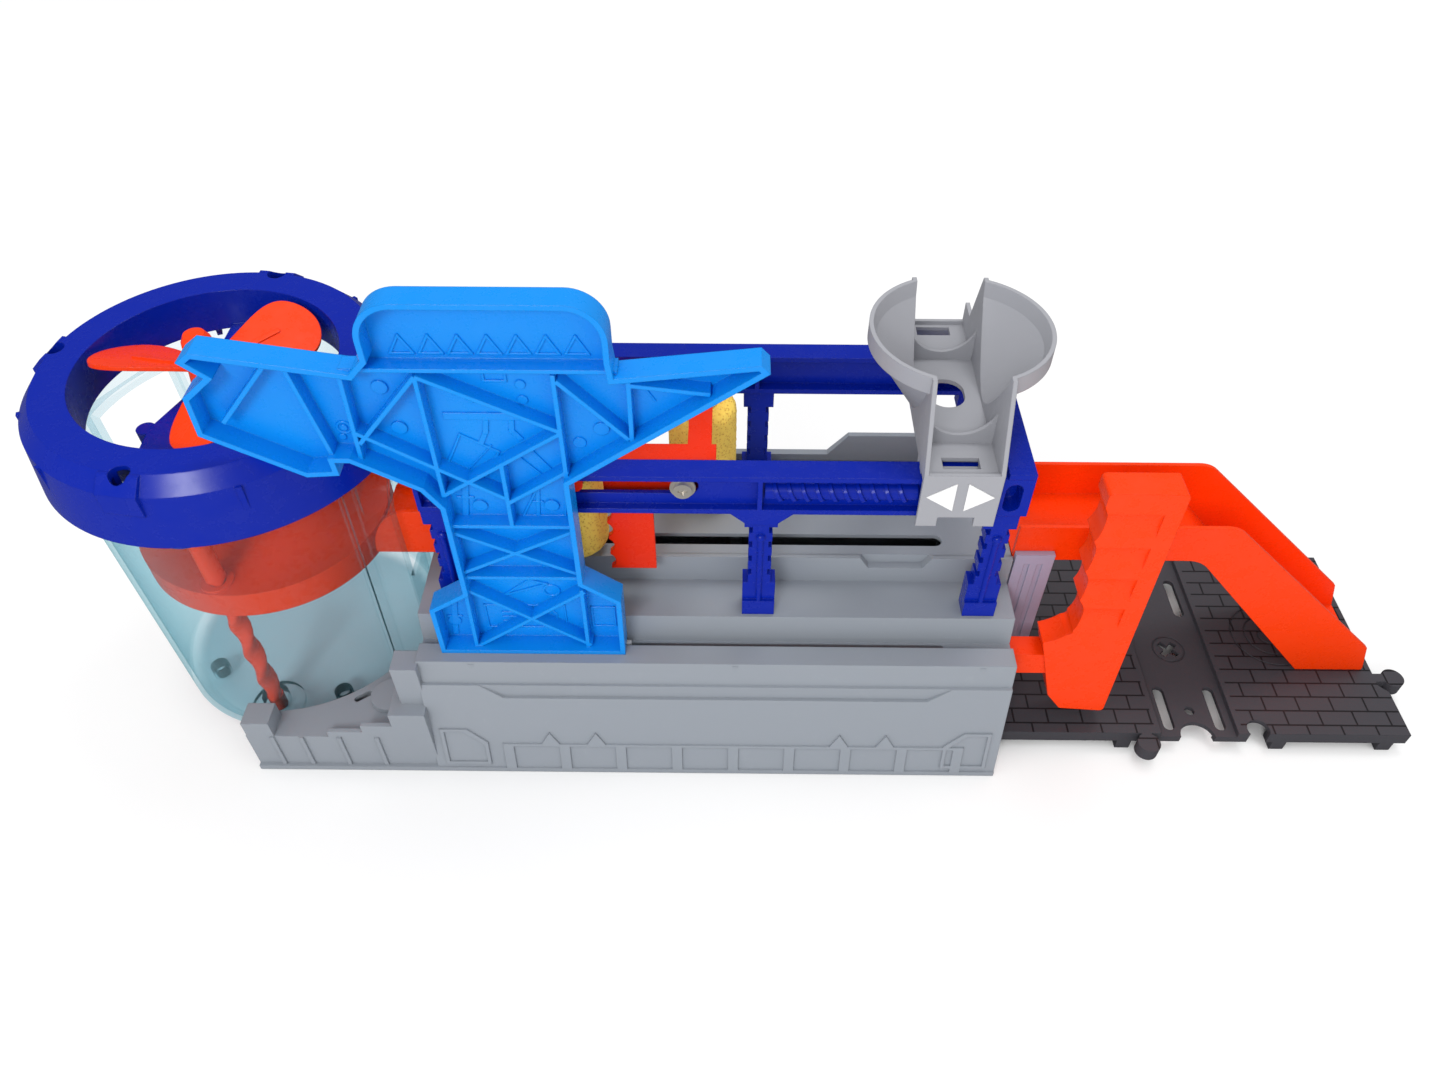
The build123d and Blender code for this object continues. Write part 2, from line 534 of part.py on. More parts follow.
            Rectangle(dip_right - dip_left, table_z - low + shell_wall)
    extrude(amount=-(dip_depth + shell_wall))
    with BuildSketch(Plane.XZ.offset(-table_front + overrun)):
        with BuildLine():
            Polyline(
                (dip_left, table_z + 2 * curb_rise), (dip_left + dip_slant, low),
                (dip_right - dip_slant, low), (dip_right, table_z + 2 * curb_rise), close=True,
            )
        make_face()
    extrude(amount=-(dip_depth + overrun), mode=Mode.SUBTRACT)
    guide_top_z = block_top_z - trench_depth - shell_wall / 2
    with BuildSketch(Plane.YZ.offset(guide_left)):
        with Locations(((rod_front + rod_back) / 2, (rod_low_z - guide_wall + guide_top_z) / 2)):
            Rectangle(rod_back - rod_front + 2 * guide_wall, guide_top_z - rod_low_z + guide_wall)
    extrude(amount=guide_thick)
    with BuildSketch(Plane.YZ.offset(guide_left - overrun)):
        with Locations(((rod_front + rod_back) / 2, (rod_low_z + rod_top_z) / 2)):
            Rectangle(rod_back - rod_front + 2 * slide_gap, rod_top_z - rod_low_z + 2 * slide_gap)
    extrude(amount=base_right - guide_left + 2 * overrun, mode=Mode.SUBTRACT)
    # Round cup and slot in the tray
    with BuildSketch(Plane.XY.offset(tray_z - cup_depth)):
        with Locations((cup_x, cup_y)):
            Circle(cup_radius + cup_wall)
    extrude(amount=cup_depth + cup_rise)
    with BuildSketch(Plane.XY.offset(tray_z - cup_depth + cup_wall)):
        with Locations((cup_x, cup_y)):
            Circle(cup_radius)
    extrude(amount=cup_depth, mode=Mode.SUBTRACT)
    with BuildSketch(Plane.XY.offset(tray_z + overrun)):
        with Locations(Location((tray_slot_x, tray_slot_y, 0), (0, 0, tray_slot_turn))):
            SlotOverall(tray_slot_length, tray_slot_width)
    extrude(amount=-shell_wall - 2 * overrun, mode=Mode.SUBTRACT)
    # Screw bosses that the underside cover seats on
    with BuildSketch(Plane.XY.offset(cover_z + cover_thick)):
        with Locations(*[(x, boss_front_y) for x in boss_xs]):
            Circle(boss_radius)
    extrude(amount=block_top_z - shell_wall - cover_z - cover_thick + overrun)
    with BuildSketch(Plane.XY.offset(cover_z + cover_thick)):
        with Locations(*[(x, boss_back_y) for x in boss_xs]):
            Circle(boss_radius)
    extrude(amount=shelf_z - shell_wall - cover_z - cover_thick + overrun)
    with BuildSketch(Plane.XY.offset(cover_z + cover_thick - overrun)):
        with Locations(*[(x, y) for x in boss_xs for y in (boss_front_y, boss_back_y)]):
            Circle(screw_radius + seat_gap)
    extrude(amount=screw_length + 2 * overrun, mode=Mode.SUBTRACT)
    # Pilasters and the rail above them
    strip = [
        (front_y(flange_rise, panel_proud) + shell_wall, flange_rise),
        (front_y(flange_rise, panel_proud + pilaster_proud), flange_rise),
        (front_y(pilaster_top_z, panel_proud + pilaster_proud), pilaster_top_z),
        (front_y(pilaster_top_z, panel_proud) + shell_wall, pilaster_top_z),
    ]
    for count in range(pilaster_count):
        with BuildSketch(Plane.YZ.offset(pilaster_first_x + count * pilaster_pitch)):
            with BuildLine():
                Polyline(*strip, close=True)
            make_face()
        extrude(amount=pilaster_width)
    with BuildSketch(Plane.YZ.offset(pilaster_first_x)):
        with BuildLine():
            Polyline(
                (front_y(pilaster_top_z, panel_proud) + shell_wall, pilaster_top_z - rail_height),
                (front_y(pilaster_top_z - rail_height, panel_proud + pilaster_proud),
                 pilaster_top_z - rail_height),
                (front_y(pilaster_top_z, panel_proud + pilaster_proud), pilaster_top_z),
                (front_y(pilaster_top_z, panel_proud) + shell_wall, pilaster_top_z), close=True,
            )
        make_face()
    extrude(amount=(pilaster_count - 1) * pilaster_pitch + pilaster_width)
    # Pointed fields over the rail and a framed field at each lower corner
    with BuildSketch(relief_plane.offset(-shell_wall / 2)):
        for x in arch_xs:
            with BuildLine():
                Polyline((x - arch_width / 2, pilaster_top_z), (x, pilaster_top_z + arch_rise),
                         (x + arch_width / 2, pilaster_top_z), close=True)
            make_face()
        for left, way in ((base_left + corner_frame_inset, 1), (base_right - corner_frame_inset, -1)):
            with BuildLine():
                Polyline(*corner_frame(left, way, 0), close=True)
            make_face()
            with BuildLine():
                Polyline(*corner_frame(left, way, -corner_frame_line), close=True)
            make_face(mode=Mode.SUBTRACT)
    extrude(amount=shell_wall / 2 + pilaster_proud)
base_shell.part.label = "base_shell"
export_step(base_shell.part, "parts/base_shell.step")

# Underside cover, held by six screws
cover_left, cover_right = base_left + shell_wall + cover_inset, base_right - shell_wall - cover_inset
cover_front, cover_back = front_y(cover_z) + shell_wall + cover_inset, base_back - shell_wall - cover_inset
with BuildPart() as base_cover:
    with BuildSketch(Plane.XY.offset(cover_z)):
        with Locations(((cover_left + cover_right) / 2, (cover_front + cover_back) / 2)):
            Rectangle(cover_right - cover_left, cover_back - cover_front)
        with Locations(*[(x, y) for x in boss_xs for y in (boss_front_y, boss_back_y)]):
            Circle(screw_radius + seat_gap, mode=Mode.SUBTRACT)
    extrude(amount=cover_thick)
base_cover.part.label = "base_cover"
export_step(base_cover.part, "parts/base_cover.step")

with BuildPart() as base_screws:
    with BuildSketch(Plane.XY.offset(cover_z)):
        with Locations(*[(x, y) for x in boss_xs for y in (boss_front_y, boss_back_y)]):
            Circle(screw_head_radius)
    extrude(amount=-screw_head_height)
    with BuildSketch(Plane.XY.offset(cover_z)):
        with Locations(*[(x, y) for x in boss_xs for y in (boss_front_y, boss_back_y)]):
            Circle(screw_radius)
    extrude(amount=screw_length)
base_screws.part.label = "base_screws"
export_step(base_screws.part, "parts/base_screws.step")

# Transparent tank: a tapered tub with a throat towards the tunnel and an exit door
with BuildPart() as tank_shell:
    with BuildSketch(Plane.XZ):
        with BuildLine():
            Polyline(
                (0, 0), (tank_foot_radius - tank_foot_round, 0), (tank_foot_radius, tank_foot_round),
                (tank_rim_radius, tank_height), (0, tank_height), close=True,
            )
        make_face()
    revolve(axis=Axis.Z)
    throat_x = throat_right - tower_x
    throat_low, throat_high = throat_front - tower_y, throat_back - tower_y
    throat_mid = (throat_low + throat_high) / 2
    with BuildSketch(Plane.YZ):
        with BuildLine():
            Polyline(
                (throat_low, throat_spring_z), (throat_low, 0), (throat_high, 0),
                (throat_high, throat_spring_z),
            )
            ThreePointArc(
                (throat_low, throat_spring_z), (throat_mid, throat_spring_z + throat_rise),
                (throat_high, throat_spring_z),
            )
        make_face()
    extrude(amount=throat_x)
    # Frame of the far doorway and two ribs beside the throat
    exit_plane = Plane(origin=(0, 0, 0), x_dir=(-sin(radians(exit_bearing)), cos(radians(exit_bearing)), 0),
                       z_dir=(cos(radians(exit_bearing)), sin(radians(exit_bearing)), 0))
    with BuildSketch(exit_plane.offset(tank_foot_radius - 2 * tank_foot_round)):
        with Locations((0, exit_sill_z + exit_height / 2)):
            Rectangle(exit_width + 2 * exit_frame, exit_height + 2 * exit_frame)
    extrude(amount=2 * tank_foot_round + 2 * tank_wall + overrun)
    for bearing in wall_rib_bearings:
        turn = Plane(origin=(0, 0, 0), x_dir=(cos(radians(bearing)), sin(radians(bearing)), 0),
                     z_dir=(sin(radians(bearing)), -cos(radians(bearing)), 0))
        with BuildSketch(turn.offset(-wall_rib_width / 2)):
            with BuildLine():
                Polyline(
                    (tank_foot_radius - tank_wall, tank_foot_round),
                    (tank_foot_radius + wall_rib_proud, tank_foot_round),
                    (tank_rim_radius + wall_rib_proud, ring_skirt_z - 2 * tank_wall),
                    (tank_rim_radius - tank_wall, ring_skirt_z - 2 * tank_wall), close=True,
                )
            make_face()
        extrude(amount=wall_rib_width)
    # Inside of the tub
    with BuildSketch(Plane.XZ):
        with BuildLine():
            Polyline(
                (0, tank_floor), (tank_foot_radius - tank_foot_round - tank_wall / 2, tank_floor),
                (tank_foot_radius - tank_wall, tank_foot_round + tank_floor / 2),
                (tank_rim_radius - tank_wall, tank_height + overrun), (0, tank_height + overrun),
                close=True,
            )
        make_face()
    revolve(axis=Axis.Z, mode=Mode.SUBTRACT)
    with BuildSketch(Plane.YZ):
        inner_low, inner_high = throat_low + throat_wall, throat_high - throat_wall
        with BuildLine():
            Polyline(
                (inner_low, throat_spring_z), (inner_low, tank_floor), (inner_high, tank_floor),
                (inner_high, throat_spring_z),
            )
            ThreePointArc(
                (inner_low, throat_spring_z), (throat_mid, throat_spring_z + throat_rise - throat_wall),
                (inner_high, throat_spring_z),
            )
        make_face()
    extrude(amount=throat_x - throat_wall, mode=Mode.SUBTRACT)
    with BuildSketch(Plane.YZ.offset(throat_x - throat_wall - overrun)):
        with BuildLine():
            Polyline(
                (inner_low + throat_wall, throat_spring_z), (inner_low + throat_wall, door_sill_z),
                (inner_high - throat_wall, door_sill_z), (inner_high - throat_wall, throat_spring_z),
            )
            ThreePointArc(
                (inner_low + throat_wall, throat_spring_z),
                (throat_mid, throat_spring_z + throat_rise - 2 * throat_wall),
                (inner_high - throat_wall, throat_spring_z),
            )
        make_face()
    extrude(amount=throat_wall + 2 * overrun, mode=Mode.SUBTRACT)
    with BuildSketch(exit_plane.offset(tank_foot_radius - 2 * tank_foot_round)):
        with Locations((0, exit_sill_z + exit_height / 2)):
            Rectangle(exit_width, exit_height)
    extrude(amount=2 * tank_foot_round + 3 * tank_wall + overrun, mode=Mode.SUBTRACT)
    # Bearing collar for the lift screw and two hollow locating bosses
    with BuildSketch(Plane.XY.offset(tank_floor)):
        with Locations((post_x - tower_x, post_y - tower_y)):
            Circle(bearing_radius + bearing_wall)
    extrude(amount=bearing_height)
    with BuildSketch(Plane.XY.offset(tank_floor)):
        with Locations((post_x - tower_x, post_y - tower_y)):
            Circle(bearing_flange_radius)
            Circle(bearing_radius, mode=Mode.SUBTRACT)
    extrude(amount=tank_floor)
    with BuildSketch(Plane.XY.offset(tank_floor)):
        with Locations((post_x - tower_x, post_y - tower_y)):
            Circle(bearing_radius)
    extrude(amount=bearing_height + overrun, mode=Mode.SUBTRACT)
    with BuildSketch(Plane.XY.offset(tank_floor)):
        with Locations(*[(pin_boss_reach * cos(radians(b)),
                          pin_boss_reach * sin(radians(b))) for b in pin_boss_bearings]):
            Circle(pin_boss_radius)
            Circle(pin_boss_radius - tank_wall / 2, mode=Mode.SUBTRACT)
    extrude(amount=pin_boss_height)
    # Connector lug on the left
    with BuildSketch(Plane.YZ.offset(-tank_rim_radius - lug_reach)):
        with Locations((0, lug_z)):
            Rectangle(lug_width, lug_height)
    extrude(amount=lug_reach + tank_wall)
tank_shell.part.locate(Location((tower_x, tower_y, 0)))
tank_shell.part.label = "tank_shell"
export_step(tank_shell.part, "parts/tank_shell.step")

# Crown ring with the case for the gears, one moulding
bridge_dir = (cos(radians(post_bearing)), sin(radians(post_bearing)))
drive_tip = gear_module * (drive_teeth / 2 + addendum_share)
idler_tip = gear_module * (idler_teeth / 2 + addendum_share)
fan_tip = gear_module * (fan_teeth / 2 + addendum_share)
case_centres = [
    ((gear_reach + fan_reach) * bridge_dir[0], (gear_reach + fan_reach) * bridge_dir[1], drive_tip),
    (fan_reach * bridge_dir[0], fan_reach * bridge_dir[1], idler_tip),
    (0, 0, fan_tip),
]
ear_spots = [
    (case_centres[1][0] + ear_reach * bridge_dir[1], case_centres[1][1] - ear_reach * bridge_dir[0]),
    (case_centres[1][0] - ear_reach * bridge_dir[1], case_centres[1][1] + ear_reach * bridge_dir[0]),
    (0, rear_screw_reach),
]


def case_outline(grow):
    """Outline round the three gears, in the sketch that is open."""
    for x, y, tip in case_centres:
        with Locations((x, y)):
            Circle(tip + case_gap + grow)
    make_hull()


lid_low_z, lid_top_z = bridge_floor_z, bridge_floor_z + bridge_wall
plate_under_z = bridge_top_z - bridge_wall
with BuildPart() as tank_ring:
    with BuildSketch(Plane.XZ):
        shoulder_z = ring_top_z - ring_shoulder_drop
        with BuildLine():
            Polyline(
                (ring_bore_radius, ring_top_z), (ring_flat_radius, ring_top_z),
                (ring_shoulder_radius, shoulder_z), (ring_skirt_radius, ring_skirt_z),
                (ring_skirt_radius - ring_wall, ring_skirt_z),
                (ring_shoulder_radius - ring_wall, shoulder_z - ring_wall / 2),
                (ring_flat_radius - ring_wall / 2, ring_top_z - ring_wall),
                (ring_seat_outer, ring_top_z - ring_wall),
                (ring_seat_outer, tank_height), (ring_seat_inner, tank_height),
                (ring_seat_inner, ring_top_z - ring_wall),
                (ring_bore_radius + ring_wall, ring_top_z - ring_wall),
                (ring_bore_radius + ring_wall, ring_top_z - ring_bore_depth),
                (ring_bore_radius, ring_top_z - ring_bore_depth), close=True,
            )
        make_face()
    revolve(axis=Axis.Z)
    for bearing in notch_bearings:
        turn = Plane(origin=(0, 0, 0), x_dir=(-sin(radians(bearing)), cos(radians(bearing)), 0),
                     z_dir=(cos(radians(bearing)), sin(radians(bearing)), 0))
        with BuildSketch(turn.offset(ring_flat_radius)):
            with Locations((0, (shoulder_z + ring_skirt_z) / 2)):
                Rectangle(notch_width, shoulder_z - ring_skirt_z)
        extrude(amount=ring_skirt_radius - ring_flat_radius + notch_proud - ring_wall)
    for bearing in ring_lug_bearings:
        turn = Plane(origin=(0, 0, 0), x_dir=(cos(radians(bearing)), sin(radians(bearing)), 0),
                     z_dir=(sin(radians(bearing)), -cos(radians(bearing)), 0))
        with BuildSketch(turn.offset(-ring_lug_width / 2)):
            with BuildLine():
                Polyline(
                    (ring_flat_radius - ring_wall, ring_top_z - ring_wall), (ring_flat_radius, ring_top_z),
                    (ring_flat_radius + ring_lug_proud, ring_top_z),
                    (ring_shoulder_radius + ring_lug_proud, shoulder_z + ring_lug_proud),
                    (ring_shoulder_radius + ring_lug_proud, shoulder_z - ring_lug_width / 2),
                    (ring_shoulder_radius - ring_wall / 2, shoulder_z - ring_lug_width / 2),
                    (ring_shoulder_radius - ring_wall / 2, shoulder_z), close=True,
                )
            make_face()
        extrude(amount=ring_lug_width)
        with BuildSketch(Plane.XY.offset(ring_top_z + overrun)):
            with Locations((ring_flat_radius * cos(radians(bearing)),
                            ring_flat_radius * sin(radians(bearing)))):
                Circle(ring_hole_radius)
        extrude(amount=-ring_hole_depth, mode=Mode.SUBTRACT)
    # Case round the gears, hanging from the bridge plate
    with BuildSketch(Plane.XY.offset(lid_top_z)):
        case_outline(bridge_wall)
        with Locations((0, bridge_back_reach / 2)):
            Rectangle(bridge_back_width, bridge_back_reach)
        with Locations(*ear_spots[:2]):
            Circle(ear_radius)
    extrude(amount=bridge_top_z - lid_top_z)
    with BuildSketch(Plane.XY.offset(lid_top_z - overrun)):
        case_outline(0)
        with Locations((0, bridge_back_reach / 2)):
            Rectangle(bridge_back_width - 2 * bridge_wall, bridge_back_reach)
        with Locations(ear_spots[2]):
            Circle(ear_radius, mode=Mode.SUBTRACT)
    extrude(amount=plate_under_z - lid_top_z + overrun, mode=Mode.SUBTRACT)
    with BuildSketch(Plane.XY.offset(bridge_top_z)):
        Circle(hub_boss_radius)
    extrude(amount=hub_boss_top_z - bridge_top_z)
    with BuildSketch(Plane.XY.offset(lid_top_z)):
        Circle(fan_shaft_radius + running_gap)
        with Locations((case_centres[0][0], case_centres[0][1])):
            Circle(top_journal_radius + running_gap)
        with Locations((case_centres[1][0], case_centres[1][1])):
            Circle(idler_pin_radius)
    extrude(amount=hub_boss_top_z - lid_top_z + overrun, mode=Mode.SUBTRACT)
    with BuildSketch(Plane.XY.offset(lid_top_z - overrun)):
        with Locations(*ear_spots):
            Circle(cover_screw_radius + seat_gap)
    extrude(amount=cover_screw_length + overrun, mode=Mode.SUBTRACT)
tank_ring.part.locate(Location((tower_x, tower_y, 0)))
tank_ring.part.label = "tank_ring"
export_step(tank_ring.part, "parts/tank_ring.step")

with BuildPart() as gear_cover:
    with BuildSketch(Plane.XY.offset(lid_low_z)):
        case_outline(bridge_wall)
        with Locations((0, bridge_lid_reach / 2)):
            Rectangle(bridge_back_width, bridge_lid_reach)
        with Locations(*ear_spots[:2]):
            Circle(ear_radius)
    extrude(amount=bridge_wall)
    with BuildSketch(Plane.XY.offset(lid_top_z - boss_drop)):
        with Locations((case_centres[0][0], case_centres[0][1])):
            Circle(drive_boss_radius - bridge_wall / 2)
    extrude(amount=boss_drop - bridge_wall / 2)
    with BuildSketch(Plane.XY.offset(lid_top_z - boss_drop - overrun)):
        with Locations((case_centres[0][0], case_centres[0][1])):
            Circle(post_radius + running_gap)
    extrude(amount=boss_drop + 2 * overrun, mode=Mode.SUBTRACT)
    with BuildSketch(Plane.XY.offset(lid_low_z - overrun)):
        Circle(fan_shaft_radius + running_gap)
        with Locations((case_centres[1][0], case_centres[1][1])):
            Circle(idler_pin_radius)
        with Locations(*ear_spots):
            Circle(cover_screw_radius + seat_gap)
    extrude(amount=bridge_wall + 2 * overrun, mode=Mode.SUBTRACT)
gear_cover.part.locate(Location((tower_x, tower_y, 0)))
gear_cover.part.label = "gear_cover"
export_step(gear_cover.part, "parts/gear_cover.step")

with BuildPart() as gear_screws:
    with BuildSketch(Plane.XY.offset(lid_low_z)):
        with Locations(*ear_spots):
            Circle(cover_screw_head_radius)
    extrude(amount=-pin_screw_head)
    with BuildSketch(Plane.XY.offset(lid_low_z)):
        with Locations(*ear_spots):
            Circle(cover_screw_radius)
    extrude(amount=cover_screw_length)
gear_screws.part.locate(Location((tower_x, tower_y, 0)))
gear_screws.part.label = "gear_screws"
export_step(gear_screws.part, "parts/gear_screws.step")

# Gears: straight-flanked teeth, thinned for running clearance
gear_low_z = lid_top_z + slide_gap


def tooth_outline(teeth, first_bearing):
    """Closed outline of one gear with a tooth centred on a bearing."""
    pitch_radius = gear_module * teeth / 2
    half_tooth = (pi * gear_module / 2 - gear_backlash) / 2
    tip, root = pitch_radius + addendum_share * gear_module, pitch_radius - dedendum_share * gear_module
    points = []
    for count in range(teeth):
        middle = radians(first_bearing) + 2 * pi * count / teeth
        for radius, half in (
            (root, -half_tooth * tooth_root_share), (tip, -half_tooth * tooth_tip_share),
            (tip, half_tooth * tooth_tip_share), (root, half_tooth * tooth_root_share),
        ):
            turn = middle + half / radius
            points.append((radius * cos(turn), radius * sin(turn)))
    return points


with BuildPart() as fan_gear:
    with BuildSketch(Plane.XY.offset(gear_low_z)):
        with BuildLine():
            Polyline(*tooth_outline(fan_teeth, post_bearing), close=True)
        make_face()
        Circle(fan_shaft_radius, mode=Mode.SUBTRACT)
    extrude(amount=gear_thick)
fan_gear.part.locate(Location((tower_x, tower_y, 0)))
fan_gear.part.label = "fan_gear"
export_step(fan_gear.part, "parts/fan_gear.step")

with BuildPart() as idler_gear:
    with BuildSketch(Plane.XY.offset(gear_low_z)):
        with BuildLine():
            Polyline(*tooth_outline(idler_teeth, post_bearing + 180 / idler_teeth), close=True)
        make_face()
        Circle(idler_pin_radius + running_gap, mode=Mode.SUBTRACT)
    extrude(amount=gear_thick)
idler_gear.part.locate(Location((idler_x, idler_y, 0)))
idler_gear.part.label = "idler_gear"
export_step(idler_gear.part, "parts/idler_gear.step")

with BuildPart() as idler_pin:
    with BuildSketch(Plane.XY.offset(lid_low_z)):
        Circle(idler_pin_radius)
    extrude(amount=bridge_top_z - lid_low_z)
idler_pin.part.locate(Location((idler_x, idler_y, 0)))
idler_pin.part.label = "idler_pin"
export_step(idler_pin.part, "parts/idler_pin.step")

with BuildPart() as drive_gear:
    with BuildSketch(Plane.XY.offset(gear_low_z)):
        with BuildLine():
            Polyline(*tooth_outline(drive_teeth, post_bearing + 180), close=True)
        make_face()
        Circle(post_radius, mode=Mode.SUBTRACT)
    extrude(amount=gear_thick)
drive_gear.part.locate(Location((post_x, post_y, 0)))
drive_gear.part.label = "drive_gear"
export_step(drive_gear.part, "parts/drive_gear.step")


# Lift screw: an oval section that turns as it rises, and the nut of the same form
def twisted_planes(low, high):
    """Planes on one grid of turns that reach past both heights, for one loft."""
    step = twist_lead * twist_step_angle / 360
    counts = range(int(low / step) - 1, int(high / step) + 3)
    return [Plane(Location((0, 0, step * n), (0, 0, 1), twist_step_angle * n)) for n in counts]


twist_low_z = tank_floor + bearing_height + slide_gap
with BuildPart() as lift_screw:
    for plane in twisted_planes(twist_low_z, twist_top_z):
        with BuildSketch(plane):
            Ellipse(twist_long, twist_short)
    loft(ruled=True)
    for z, way in ((twist_low_z, -1), (twist_top_z, 1)):
        with BuildSketch(Plane.XY.offset(z)):
            Circle(2 * twist_long)
        extrude(amount=way * twist_lead, mode=Mode.SUBTRACT)
    with BuildSketch(Plane.XY.offset(tank_floor + slide_gap)):
        Circle(bearing_radius - running_gap)
    extrude(amount=bearing_height)
    with BuildSketch(Plane.XY.offset(twist_top_z)):
        Circle(post_radius)
    extrude(amount=gear_low_z + gear_thick + slide_gap - twist_top_z)
    with BuildSketch(Plane.XY.offset(gear_low_z)):
        Circle(top_journal_radius)
    extrude(amount=bridge_top_z - slide_gap - gear_low_z)
lift_screw.part.locate(Location((post_x, post_y, 0)))
lift_screw.part.label = "lift_screw"
export_step(lift_screw.part, "parts/lift_screw.step")

with BuildPart() as lift_platform:
    plate_low = platform_top_z - platform_plate
    to_tower = (tower_x - post_x, tower_y - post_y)
    with BuildSketch(Plane.XY.offset(platform_top_z - platform_rim)):
        with Locations(to_tower):
            Circle(platform_radius)
    extrude(amount=platform_rim)
    with BuildSketch(Plane.XY.offset(platform_top_z - platform_rim - overrun)):
        with Locations(to_tower):
            Circle(platform_radius - platform_wall)
    extrude(amount=platform_rim - platform_plate + overrun, mode=Mode.SUBTRACT)
    for count in range(platform_ribs):
        with BuildSketch(Plane.XY.offset(plate_low - platform_rib_deep)):
            with Locations(Location((to_tower[0], to_tower[1], 0), (0, 0, 1),
                                    post_bearing + 180 * count / platform_ribs)):
                Rectangle(2 * platform_radius - platform_wall, platform_rib_thick)
        extrude(amount=platform_rib_deep)
    with BuildSketch(Plane.XY.offset(plate_low - collar_drop)):
        Circle(collar_radius)
    extrude(amount=collar_drop + platform_plate + collar_rise)
    with BuildSketch(Plane.XY.offset(plate_low - platform_rib_deep - overrun)):
        Circle(twist_long + overrun)
    extrude(amount=platform_rib_deep - collar_drop + overrun, mode=Mode.SUBTRACT)
    for plane in twisted_planes(plate_low - collar_drop - overrun, platform_top_z + collar_rise + overrun):
        with BuildSketch(plane):
            Ellipse(twist_long + nut_gap, twist_short + nut_gap)
    loft(ruled=True, mode=Mode.SUBTRACT)
    with BuildSketch(Plane.XY.offset(platform_top_z - platform_plate)):
        outer, inner = platform_radius - guard_inset, platform_radius - guard_inset - guard_wall
        turns = [radians(guard_start + guard_sweep * u) for u in (0, 1 / 2, 1)]
        far = [(to_tower[0] + outer * cos(t), to_tower[1] + outer * sin(t)) for t in turns]
        near = [(to_tower[0] + inner * cos(t), to_tower[1] + inner * sin(t)) for t in turns]
        with BuildLine():
            ThreePointArc(far[0], far[1], far[2])
            Line(far[2], near[2])
            ThreePointArc(near[2], near[1], near[0])
            Line(near[0], far[0])
        make_face()
    extrude(amount=platform_plate + guard_height)
lift_platform.part.locate(Location((post_x, post_y, 0)))
lift_platform.part.label = "lift_platform"
export_step(lift_platform.part, "parts/lift_platform.step")

# Fan
with BuildPart() as fan_rotor:
    with BuildSketch(Plane.XZ):
        with BuildLine():
            Polyline(
                (0, lid_low_z), (fan_shaft_radius, lid_low_z), (fan_shaft_radius, fan_hub_low_z),
                (fan_hub_low_radius, fan_hub_low_z), (fan_hub_top_radius, fan_hub_top_z - fan_hub_round),
                (fan_hub_top_radius * fan_dome_shares[0],
                 fan_hub_top_z - fan_hub_round * fan_dome_shares[1]),
                (0, fan_hub_top_z), close=True,
            )
        make_face()
    revolve(axis=Axis.Z)
    for count in range(fan_blades):
        bearing = radians(fan_blade_bearing + 360 * count / fan_blades)
        tilt = radians(fan_pitch)
        blade_plane = Plane(
            origin=(0, 0, fan_plane_z), x_dir=(cos(bearing), sin(bearing), 0),
            z_dir=(sin(bearing) * sin(tilt), -cos(bearing) * sin(tilt), cos(tilt)),
        )
        blade_root = fan_hub_top_radius / 2
        with BuildSketch(blade_plane):
            with BuildLine():
                edge = [
                    (blade_root + u * (fan_radius - blade_root), v * fan_radius)
                    for u, v in blade_outline_shares
                ]
                Spline(*edge)
                Line(edge[-1], edge[0])
            make_face()
        extrude(amount=fan_blade_thick / 2, both=True)
        with BuildSketch(blade_plane):
            with Locations((blade_rib_share * fan_radius / 2 + blade_root, 0)):
                SlotOverall(blade_rib_share * fan_radius, blade_rib_width)
        extrude(amount=blade_rib_rise)
fan_rotor.part.locate(Location((tower_x, tower_y, 0)))
fan_rotor.part.label = "fan_rotor"
export_step(fan_rotor.part, "parts/fan_rotor.step")

# Chute from the tunnel into the tank
chute_y = (throat_front + throat_back) / 2
with BuildPart() as entry_chute:
    with BuildSketch(Plane.XY.offset(table_z - chute_floor)):
        with Locations(((chute_left + chute_right) / 2, chute_y)):
            Rectangle(chute_right - chute_left, 2 * chute_half_width)
    extrude(amount=chute_floor)
    for side, rise in ((-1, chute_high_rise), (1, chute_low_rise)):
        wall_y = chute_y + side * (chute_half_width - chute_wall / 2) + chute_wall / 2
        with BuildSketch(Plane.XZ.offset(-wall_y)):
            with BuildLine():
                bend = (chute_left + chute_curve_share * (chute_right - chute_left), table_z + rise)
                Line((chute_right, table_z + rise), bend)
                EllipticalCenterArc(
                    (bend[0], table_z - chute_floor), bend[0] - chute_left, rise + chute_floor,
                    start_angle=90, arc_size=90,
                )
                Line((chute_left, table_z - chute_floor), (chute_right, table_z - chute_floor))
                Line((chute_right, table_z - chute_floor), (chute_right, table_z + rise))
            make_face()
        extrude(amount=chute_wall)
    with BuildSketch(Plane.XY.offset(shelf_z)):
        with Locations(*[((base_left + chute_right) / 2,
                          chute_y + side * chute_half_width / 2) for side in (-1, 1)]):
            Rectangle(chute_right - base_left - 2 * chute_wall, chute_wall)
    extrude(amount=table_z - shelf_z - chute_floor / 2)
entry_chute.part.label = "entry_chute"
export_step(entry_chute.part, "parts/entry_chute.step")


